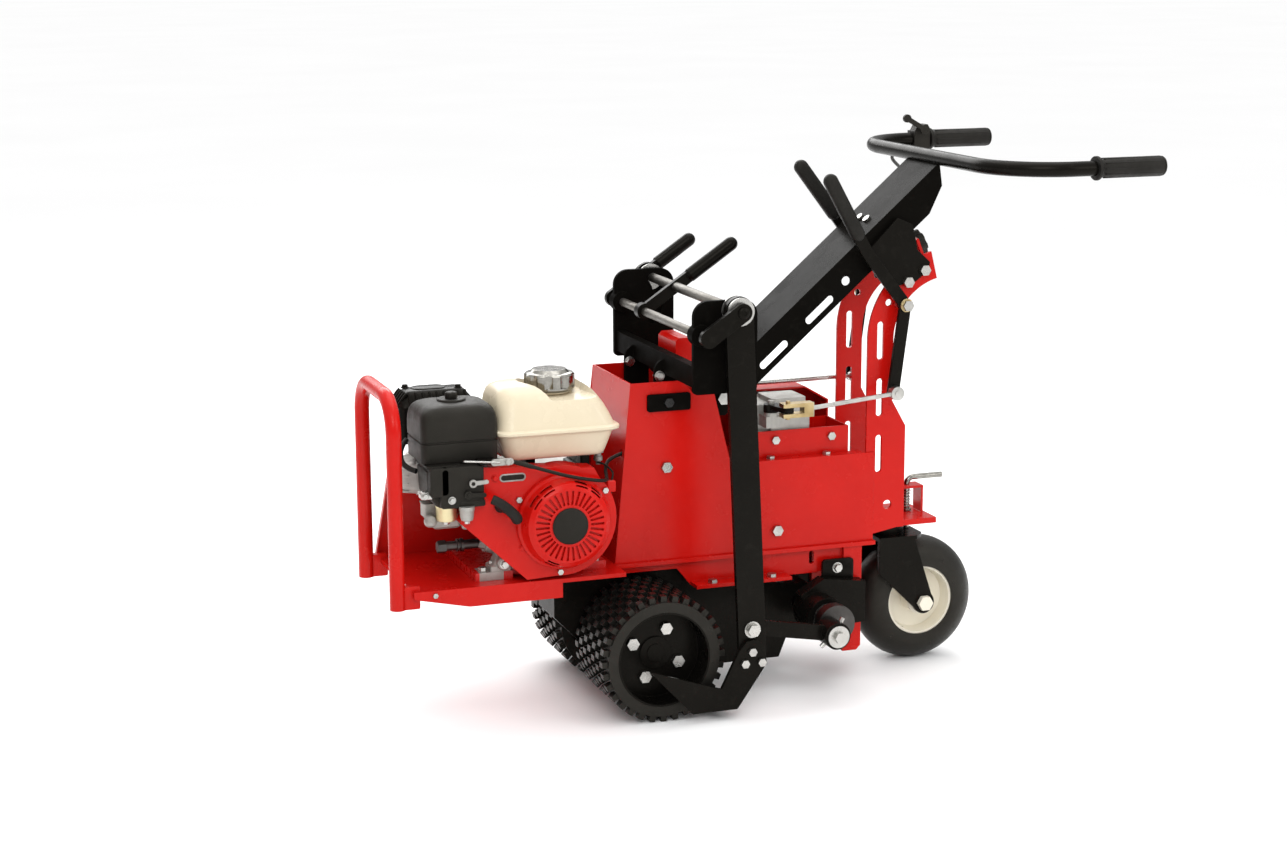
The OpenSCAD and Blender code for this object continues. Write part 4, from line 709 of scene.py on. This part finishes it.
GOVERNOR_ROUTE = [(-318, -138.5, 453), (-316, -143, 453), (-300, -143.6, 451.5), (-275, -144.6, 449),
                  (-262, -144.6, 447.5), (-258, -142, 447)]


def knob_rings(origin):
    """The rings of a round knob with six lobes."""
    rings = []
    for r, h in KNOB_PROFILE:
        lobe = 0.09 if r > 8 else 0.04
        ring = []
        for k in range(KNOB_STEPS):
            a = 2 * math.pi * k / KNOB_STEPS
            reach = r * MM * (1 + lobe * math.cos(6 * a))
            ring.append(origin + Vector((reach * math.cos(a), reach * math.sin(a), h * MM)))
        rings.append(ring)
    return rings


def add_air_cleaner():
    """The moulded cover with its seam, the intake housing under it and the round knob on top."""
    bm = boxed([(z, AIR_X0 + d, AIR_X1 - d, AIR_Y0 + d, AIR_Y1 - d, r) for z, d, r in COVER_SECTIONS])
    boxed([(z, x + d, -318 - d, -128 + d, -57 - d, 9) for z, x, d in HOUSING_SECTIONS], bm)
    for x0, x1, z0 in ((-356, -284, 376), (-373, -340, 396)):
        boxed([(y, x0 + d, x1 - d, z0 + d, 443.6 - d, r) for y, d, r in DUCT_SECTIONS], bm, "y")
    boxed([(-130, -324, -282, 376, 388, 3), (-138.4, -323, -283, 377, 387, 3),
           (-139, -322, -284, 378, 386, 3)], bm, "y")
    for x, z in ((-304, 416), (-312, 398)):
        lathe([(0.0029, 0), (0.0029, 0.0078), (0.0024, 0.0082)], at(x, INTAKE_Y, z), NEAR, 24, bm)
    knob = at((AIR_X0 + AIR_X1) / 2, -58, 536.4)
    lathe(KNOB_RIM, knob, UP, KNOB_STEPS, bm)
    loft(knob_rings(knob), bm)
    cover = add_piece("air_cleaner_shell", bm, PLASTIC, smooth_angle=38)
    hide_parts("air_cleaner")
    bm = bmesh.new()
    hex_head(bm, at(-338, INTAKE_Y, 390), NEAR, 0.009, 0.004, 0.013)
    boxed([(-112, -386, -364, 391, 404, 5), (-125, -386, -364, 391, 404, 5), (-126, -385, -365, 392, 403, 4)],
          bm, "y")
    hex_head(bm, at(-379, -125.6, 397.5), NEAR, 0.0085, 0.004, 0.012)
    add_piece("intake_bolts", bm, ZINC)
    add_piece("breather_hose", tube(route(HOSE_ROUTE, 8), 0.0044, 16), GRIP)
    add_piece("governor_rod", tube(route(GOVERNOR_ROUTE, 6), 0.0016, 10), ZINC)


add_air_cleaner()

BOWL_AT = (-338.5, -103)
BOWL_PROFILE = [(0.0176, 0.028), (0.0176, 0.0235), (0.0171, 0.0228), (0.0168, 0.006), (0.0148, 0.0018),
                (0.009, 0.0002), (0.003, 0)]
CUP_AT = (-314, -138.5)
CUP_PROFILE = [(0.0125, 0.024), (0.0125, 0.018), (0.0118, 0.0172), (0.0108, 0.006), (0.0092, 0.0012),
               (0.004, -0.0006), (0.001, -0.0008)]


def add_carburettor():
    """The carburettor's body, yellowish float bowl and fuel cup, and the throttle's arm and bracket above."""
    bm = boxed([(350, -368, -300, -82, -57, 4), (352, -370, -298, -84, -56, 4),
                (371, -370, -298, -84, -56, 4), (374.4, -372, -296, -86, -55, 4)])
    boxed([(330, -352, -312, -80, -58, 5), (334, -356, -308, -84, -56, 6),
           (351, -356, -308, -84, -56, 6)], bm)
    lathe([(0.004, 0), (0.0095, 0.002), (0.0105, 0.006), (0.0105, 0.014), (0.006, 0.018)],
          at(-362, -84, 344), (0, -1, 0.5), 32, bm)
    lathe([(0.003, 0), (0.006, 0.001), (0.006, 0.012), (0.003, 0.014)],
          at(-305, -84, 338), (0, -1, -0.3), 24, bm)
    flat_bar([(-241, 447), (-268, 447)], -140, 5.5, 3, 1.2, bm=bm)
    lathe([(0.005, 0), (0.005, 0.004), (0.0042, 0.005), (0.001, 0.005)], at(-246, -143, 447), NEAR, 24, bm)
    body = add_piece("carburettor_body", bm, CAST)
    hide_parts("carburettor")
    bm = boxed([(444.6, -292, -262, -141, -114, 2), (450.4, -292, -262, -141, -114, 2),
                (451, -291, -263, -140, -115, 2)])
    add_piece("throttle_bracket", bm, BLACK)
    add_piece("float_bowl", lathe(BOWL_PROFILE, at(*BOWL_AT, 348), UP, 48), BOWL)
    add_piece("fuel_cup", lathe(CUP_PROFILE, at(*CUP_AT, 355), UP, 48), CAST)
    bm = bmesh.new()
    hex_head(bm, at(*BOWL_AT, 348.2), DOWN, 0.01, 0.005)
    hex_head(bm, at(-312, -84, 346), NEAR, 0.008, 0.004, 0.011)
    hex_head(bm, at(*CUP_AT, 354.4), DOWN, 0.008, 0.004)
    add_piece("bowl_bolts", bm, ZINC)


add_carburettor()

HEAD_SECTIONS = [
    # the place along X, the inset, the corner radius
    (-312, 4, 10), (-316, 0, 12), (-352, 0, 12), (-354, 3, 10), (-356, 3, 10), (-357, -1.5, 13),
    (-363, -1.5, 13), (-364.5, 3, 12), (-390, 6, 14), (-397, 10, 14), (-401, 16, 12), (-402, 24, 6)]
HEAD_BOLTS = [(-42.3, 386), (-42.3, 432), (27, 386), (27, 432)]
PIPE_Y = -60


def add_head():
    """The cylinder head with its bolted cover, the cast foot and the dark pipe beside it."""
    bm = boxed([(x, -52 + d, 36 - d, 378 + d, 439 - d, r) for x, d, r in HEAD_SECTIONS], axis="x")
    for z in (388, 401, 414, 427):
        boxed([(-386, -48.6, 30, z - 1.6, z + 1.6, 1.2), (-399, -40, 24, z - 1.6, z + 1.6, 1.2),
               (-403, -30, 14, z - 1.2, z + 1.2, 1)], bm, "x")
    boxed([(253, -264, -227, -95, -62, 4), (262, -264, -227, -95, -62, 4), (266, -259, -227, -92, -66, 5),
           (288, -249, -227, -88, -69, 6), (294, -244, -227, -85, -72, 5)], bm)
    lathe([(0.011, 0), (0.011, 0.012), (0.0095, 0.014), (0.004, 0.014)], at(-243, -90, 268), NEAR, 32, bm)
    add_piece("head_castings", bm, CAST, smooth_angle=34)
    bm = bmesh.new()
    for y, z in HEAD_BOLTS:
        hex_head(bm, at(-364.6, y, z), FRONT, 0.01, 0.005, 0.014)
    hex_head(bm, at(-243, -104, 268), NEAR, 0.011, 0.005, 0.017)
    hex_head(bm, at(-255, -79, 262), UP, 0.012, 0.006, 0.018)
    add_piece("head_bolts", bm, ZINC)
    bm = tube([at(x, PIPE_Y, 296 + 0.01 * (x + 231)) for x in (-226, -250, -280, -310, -332)], 0.008, 24)
    for x, w in ((-300, 0.006), (-308, 0.004)):
        profile = [(0.007, 0), (0.011, 0.0006), (0.011, w - 0.0006), (0.007, w)]
        lathe(profile, at(x, PIPE_Y, 295.4), FRONT, 32, bm)
    hex_head(bm, at(-330, PIPE_Y, 295), FRONT, 0.019, 0.014)
    add_piece("oil_pipe", bm, DARK)


add_head()


# Muffler

SHIELD_SECTIONS = [
    # the height, the inset, the corner radius
    (446, 3, 8), (448, 0.4, 10), (506, 0, 10), (510, 0.8, 10), (526, 13, 11), (530, 16.4, 11), (532, 21, 9)]


def add_muffler():
    """The heat shield: a pressed box with bevelled shoulders, louvres and a raised oval on top."""
    bm = boxed([(z, -375 + d, -242 - d, 44 + d, 122 - d, r) for z, d, r in SHIELD_SECTIONS])
    for k in range(9):
        x = -356 + 12 * k
        tube([at(x, 44.4, 506), at(x, 46, 512), at(x, 56.5, 526), at(x, 60, 529)], 0.0026, 10, bm)
    for k in range(5):
        y = 58 + 12.5 * k
        tube([at(-374.6, y, 506), at(-373, y, 512), at(-362.5, y, 526), at(-359, y, 529)], 0.0026, 10, bm)
        z = 458 + 9.5 * k
        tube([at(-375, 56, z), at(-375.4, 60, z), at(-375.4, 106, z), at(-375, 110, z)], 0.0022, 10, bm)
    boxed([(531, -346, -286, 68, 104, 17), (533.4, -345, -287, 69, 103, 16),
           (534.6, -341, -291, 73, 99, 12)], bm)
    boxed([(396, -325, -285, 56, 62, 2), (447, -325, -285, 56, 62, 2)], bm)
    shield = add_piece("muffler_shield", bm, BLACK, smooth_angle=34)
    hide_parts("muffler")
    bm = bmesh.new()
    for x, y in ((-268, 72), (-352, 100)):
        hex_head(bm, at(x, y, 531.4), UP, 0.009, 0.004, 0.014)
    add_piece("shield_bolts", bm, BLACK)


add_muffler()


# Fan shroud details

SHROUD_Y = -126
SLOT_Z = 417
SLOT_R = 5.4
WIRE_ROUTE = [(-68, -62, 416), (-60, -78, 414), (-54, -98, 406), (-58, -108, 397), (-61, -110, 390),
              (-60, -111, 378), (-66, -112, 368), (-80, -110, 364), (-92, -106, 364)]
HANDLE_ROUTE = [(-277, -155, 391), (-270, -157.5, 387.5), (-258, -158.6, 379), (-246, -158.2, 368),
                (-237, -155, 358), (-233.5, -149, 350)]


def add_slot():
    """The slot in the shroud: its cast rim and the dark mesh in it."""
    y, z = SHROUD_Y, SLOT_Z
    loop = []
    for x, start in ((-249, math.pi / 2), (-218, -math.pi / 2)):
        for k in range(13):
            out = SLOT_R * unit(start + math.pi * k / 12)
            loop.append(at(x + out.x, y - 0.4, z + out.y))
    add_piece("slot_rim", tube(loop + loop[:2], 0.0014, 10), CAST)
    bm = boxed([(y + 0.5, -253, -214, z - 4.4, z + 4.4, 4.2), (y - 0.6, -253, -214, z - 4.4, z + 4.4, 4.2),
                (y - 0.8, -252, -215, z - 3.6, z + 3.6, 3.4)], axis="y")
    for x in (-248, -239, -230, -221):
        boxed([(y - 0.4, x, x + 4, z - 3.4, z + 3.4, 1),
               (y - 1.3, x + 0.4, x + 3.6, z - 3, z + 3, 1)], bm, "y")
    add_piece("slot_mesh", bm, PLASTIC)


def handle_radius(share):
    """The pull handle's radius along its length, rounded off at both ends."""
    start = 2.2 * max(0, (0.06 - share) / 0.06) ** 2
    end = 5 * max(0, (share - 0.88) / 0.12) ** 2.4
    return MM * (7.6 + 1.8 * share - start - end)


def add_shroud_details():
    """The small red screws, the stop wire with its red clip, and the curved pull handle."""
    bm = bmesh.new()
    hex_head(bm, at(-263, SHROUD_Y, 418), NEAR, 0.008, 0.003, 0.012)
    hex_head(bm, at(-219, SHROUD_Y, 299), NEAR, 0.007, 0.002, 0.011)
    boxed([(376, -68, -54, -114, -106, 2.5), (377.5, -69, -53, -115, -105, 3), (393, -69, -53, -115, -105, 3),
           (395, -67, -55, -113, -107, 2.5)], bm)
    add_piece("shroud_screws", bm, RED)
    add_piece("stop_wire", tube(route(WIRE_ROUTE, 8), 0.0016, 10), PLASTIC)
    path = route(HANDLE_ROUTE, 8)
    count = len(path) - 1
    bm = loft(swept_rings(path, [handle_radius(k / count) for k in range(len(path))], 24))
    lathe([(0.0105, 0), (0.0105, 0.003), (0.008, 0.006), (0.0062, 0.012), (0.0058, 0.028)],
          at(-254, SHROUD_Y, 371), NEAR, 32, bm)
    handle = add_piece("pull_handle", bm, GRIP, smooth_angle=50)
    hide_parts("starter_grip")


add_slot()
add_shroud_details()


# Handle grips

GRIP_X = 709
GRIP_Z = 897
RIB_R = 16.3
RIBS = 10
GRIP_PROFILE = [
    # the radius, the distance from the inner end
    (13.0, 0.2), (19.4, 0.4), (20, 1.4), (20, 4.8), (19.2, 6.4), (15.8, 8.4), (14.4, 9.8), (14.2, 12.4),
    (15.2, 14.6), (16, 17), (16.4, 40), (16.8, 90), (17, 121), (16.7, 122.4), (15.9, 122.8), (15.9, 123.6),
    (16.5, 124), (16.3, 125.6), (15.2, 127.2), (12.6, 128), (6, 127.4), (2, 127.2)]


def add_grips():
    """The two moulded rubber grips, with a collar at the inner end and a rim round the closed end."""
    bm = bmesh.new()
    for y in (-305, 305):
        lathe([(r * MM, h * MM) for r, h in GRIP_PROFILE], at(GRIP_X, y, GRIP_Z), (1, 0, 0), 48, bm)
        for k in range(RIBS):
            out = RIB_R * unit(2 * math.pi * k / RIBS)
            tube([at(x, y + out.x, GRIP_Z + out.y) for x in (722, 760, 800, 828)], 0.0009, 8, bm)
    grips = add_piece("grip_sleeves", bm, GRIP)
    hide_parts("handle_grips")


add_grips()


# Control levers, repeated from the part's own lines

LEVER_AXIS = Vector((479, 653))
STRAP_END = Vector((459.29, 503.29))
LEVER_Y = 86
WASHER_Y = 90.8
WASHER_PROFILE = [(0.0064, 0), (0.0114, 0.0002), (0.0116, 0.0006), (0.0116, 0.003), (0.0112, 0.0034),
                  (0.0064, 0.0034)]


def polar(r, degrees):
    """A place in the side view, given from the levers' axis."""
    return LEVER_AXIS + r * unit(math.radians(degrees))


def add_lever(body, node, y, bend, tip):
    """A bent flat bar with a dipped sheath on its upper end."""
    up = (tip - bend).normalized()
    bm = flat_bar([bend + 52 * up, bend, LEVER_AXIS, STRAP_END], y, 10.5, 4, 1.2)
    bar = add_piece(body + "_bar", bm, BLACK, body)
    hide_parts(node)
    bm = flat_bar([tip - 104 * up, tip], y, 12.5, 9, 7.5, domed=True)
    sheath = add_piece(body + "_sheath", bm, GRIP, body, 60)
    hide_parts(node)


def add_lever_washers():
    """The yellow-plated washers outside the levers' pivots."""
    bm = bmesh.new()
    for side in (-1, 1):
        lathe(WASHER_PROFILE, at(LEVER_AXIS.x, side * WASHER_Y, LEVER_AXIS.y), (0, side, 0), 40, bm)
    add_piece("lever_washers", bm, BRASS)


add_lever("drive_control", "drive_lever", -LEVER_Y, polar(117, 128.4), polar(258, 123.3))
add_lever("clutch_control", "clutch_lever", LEVER_Y, polar(112, 106.7), polar(254, 118.4))
add_lever_washers()


# Rods, bearings and bolts of the running gear

HANGER_T = 8
HANGER_BOSS = 6
hanger_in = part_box("hanger_frame")[1].y / MM - HANGER_BOSS - HANGER_T
CRANK_R = 0.015
BEARING_GAP = 0.0006
BEARING_PROFILE = [
    (CRANK_R + BEARING_GAP, 0), (0.0256, 0), (0.0256, 0.0036), (0.0222, 0.0036), (0.0216, 0.0028),
    (0.0186, 0.0028), (0.018, 0.0036), (CRANK_R + BEARING_GAP, 0.0036)]
LUG_PLACES = (-45, 104)
CAP_PROFILE = [(0.0088, -0.0006), (0.0092, 0.0002), (0.0092, 0.0016), (0.0078, 0.0028), (0.0045, 0.0032),
               (0.0042, 0.0018), (0.0005, 0.0018)]


def sleeve(start, length, r, bm=None):
    """A thin bright sleeve along Y, with bevelled ends."""
    bevel = 0.00025
    profile = [(r - bevel, 0), (r, 0.0004), (r, length - 0.0004), (r - bevel, length)]
    return lathe(profile, start, (0, 1, 0), 40, bm)


def add_rods():
    """The ground sleeves on the depth shaft and on the rod that the cutter hangs from."""
    bm = bmesh.new()
    for y0, y1 in ((-hanger_in + 9, 65), (85, hanger_in - 9)):
        sleeve(at(63, y0, 642), (y1 - y0) * MM, 0.00725, bm)
    add_piece("depth_shaft_sleeve", bm, ROD, "depth")
    low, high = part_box("hanger_rod")
    middle = (low + high) / 2
    reach = (hanger_in - 1) * MM
    bm = sleeve(Vector((middle.x, -reach, middle.z)), 2 * reach, 0.00825)
    add_piece("hanger_rod_sleeve", bm, ROD, "hanger")


def add_bearings():
    """The crankshaft's bearing rings, and the black brackets above them."""
    bm = bmesh.new()
    for side in (-1, 1):
        lathe(BEARING_PROFILE, at(317, side * 137, 130), (0, side, 0), 56, bm)
        hex_head(bm, at(363, side * 78.2, 199), (0, side, 0), 0.013, 0.006, 0.019)
    add_piece("crank_bearings", bm, ZINC)
    bm = bmesh.new()
    for side in (-1, 1):
        sections = ((71.9, 0), (77.6, 0), (78.4, 0.9))
        boxed([(side * y, 336 + d, 394 - d, 166 + d, 214 - d, 6) for y, d in sections], bm, "y")
    add_piece("bearing_brackets", bm, BLACK)


def add_hanger_fasteners():
    """The bolts through the hanger frame's lugs, and the caps on the ends of the rod."""
    bm = bmesh.new()
    for y in LUG_PLACES:
        hex_head(bm, at(47, y - 3, 551), NEAR, 0.013, 0.0055, 0.018)
        hex_head(bm, at(47, y + 3, 551), (0, 1, 0), 0.013, 0.0065, 0.018)
    add_piece("lug_bolts", bm, ZINC)
    bm = bmesh.new()
    low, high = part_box("hanger_rod")
    middle = (low + high) / 2
    for end, side in ((low.y, -1), (high.y, 1)):
        lathe(CAP_PROFILE, Vector((middle.x, end, middle.z)), (0, side, 0), 40, bm)
    add_piece("rod_caps", bm, BLACK, "hanger")


add_rods()
add_bearings()
add_hanger_fasteners()


# Drive belt

BELT_Y = at(0, 112, 0).y
BELT_SIDE = [(0.0058, 0.0036), (0.0073, 0.0034), (0.0075, 0.0028)]
BELT_FOOT = 0.0026
BELT_NOTCH = 0.0012
RIM_H = 0.004
GROOVE_H = 0.0045
ARC_STEPS = 40
RUN_STEPS = 60


def pulley(node):
    """The middle of a pulley in the side view, and the radius of the bottom of its groove."""
    low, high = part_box(node)
    return Vector(((low.x + high.x) / 2, (low.z + high.z) / 2)), (high.x - low.x) / 2 - RIM_H - GROOVE_H


def belt_arc(centre, r, start, turn):
    """Points round a pulley, each with its outward direction."""
    angles = [start + turn * k / ARC_STEPS for k in range(ARC_STEPS + 1)]
    return [(centre + r * unit(t), unit(t)) for t in angles]


def belt_run(a, ra, b, rb, n):
    """Points between the ends of a straight run to another pulley, each with its outward direction."""
    step = b + rb * n - a - ra * n
    return [(a + ra * n + step * k / RUN_STEPS, n) for k in range(1, RUN_STEPS)]


def add_belt():
    """The V belt: a notched loop about the engine's and the gearbox's pulleys."""
    a, ra = pulley("engine_pulley")
    b, rb = pulley("input_pulley")
    span = b - a
    lean = math.atan2(span.y, span.x)
    spread = math.acos((ra - rb) / span.length)
    line = belt_arc(a, ra, lean + spread, 2 * math.pi - 2 * spread)
    line += belt_run(a, ra, b, rb, unit(lean - spread))
    line += belt_arc(b, rb, lean - spread, 2 * spread)
    line += belt_run(b, rb, a, ra, unit(lean + spread))
    bm = bmesh.new()
    rings = []
    for i, (p, n) in enumerate(line):
        half = [(BELT_NOTCH if i % 2 else 0.0, BELT_FOOT)] + BELT_SIDE
        section = [(out, -w) for out, w in half] + [(out, w) for out, w in half[::-1]]
        rings.append([bm.verts.new((p.x + n.x * out, BELT_Y + w, p.y + n.y * out)) for out, w in section])
    count = len(rings[0])
    for ring, after in zip(rings, rings[1:] + rings[:1]):
        for i in range(count):
            j = (i + 1) % count
            bm.faces.new((ring[i], ring[j], after[j], after[i]))
    belt = add_piece("v_belt", bm, GRIP, smooth_angle=30)
    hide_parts("drive_belt")


add_belt()


# Stage

FLOOR_R = 120
PAPER_SHADES = ((0.93, 0.93, 0.93), (0.95, 0.95, 0.95))
SURROUND_SIDE = 0.34
SURROUND_TOP = 1.42
SOFTBOXES = [
    # the name, the place, the target, the width and height, the watts
    ("key_softbox", (-1.1, -3.4, 2.8), (0, 0, 0.4), (1.8, 1.8), 44),
    ("fill_softbox", (2.4, -2.6, 1.8), (0, 0, 0.4), (1.6, 1.6), 22),
    ("back_softbox", (-0.1, 3.2, 2.4), (0.1, 0, 0.6), (3.4, 1.6), 70),
    ("top_softbox", (0.2, 0.4, 3.0), (0, 0, 0.3), (2.4, 2.4), 36)]


def add_softbox(name, place, target, size, watts):
    """A soft rectangular light that faces a target."""
    data = bpy.data.lights.new(name, "AREA")
    data.shape = "RECTANGLE"
    data.size, data.size_y = size
    data.energy = watts
    light = bpy.data.objects.new(name, data)
    light.location = place
    light.rotation_euler = (Vector(target) - Vector(place)).to_track_quat("-Z", "Y").to_euler()
    scene.collection.objects.link(light)


def add_surround():
    """A studio that is dim at the sides and bright overhead."""
    world = bpy.data.worlds.new("surround")
    world.use_nodes = True
    tree = world.node_tree
    background = tree.nodes["Background"]
    place = tree.nodes.new("ShaderNodeTexCoord")
    parts = tree.nodes.new("ShaderNodeSeparateXYZ")
    rise = tree.nodes.new("ShaderNodeMapRange")
    rise.inputs["From Min"].default_value = 0.0
    rise.inputs["From Max"].default_value = 1.0
    rise.inputs["To Min"].default_value = SURROUND_SIDE
    rise.inputs["To Max"].default_value = SURROUND_TOP
    tree.links.new(place.outputs["Generated"], parts.inputs["Vector"])
    tree.links.new(parts.outputs["Z"], rise.inputs["Value"])
    tree.links.new(rise.outputs["Result"], background.inputs["Strength"])
    background.inputs["Color"].default_value = (1, 1, 1, 1)
    scene.world = world


def add_stage():
    """A wide pale floor, four softboxes and the surround."""
    bm = bmesh.new()
    bmesh.ops.create_circle(bm, cap_ends=True, segments=96, radius=FLOOR_R)
    data = bpy.data.meshes.new("floor")
    bm.to_mesh(data)
    bm.free()
    f = Finish("floor_paper", Specular_IOR_Level=0.1)
    paper = f.between(f.noise(0.7, 3), PAPER_SHADES)
    data.materials.append(f.done(paper, f.span(f.noise(3, 2), 0.85, 0.95), f.bump(f.noise(300, 2), 0.0001)))
    floor = bpy.data.objects.new("floor", data)
    scene.collection.objects.link(floor)
    for softbox in SOFTBOXES:
        add_softbox(*softbox)
    add_surround()
    scene.view_settings.view_transform = "Standard"


add_stage()
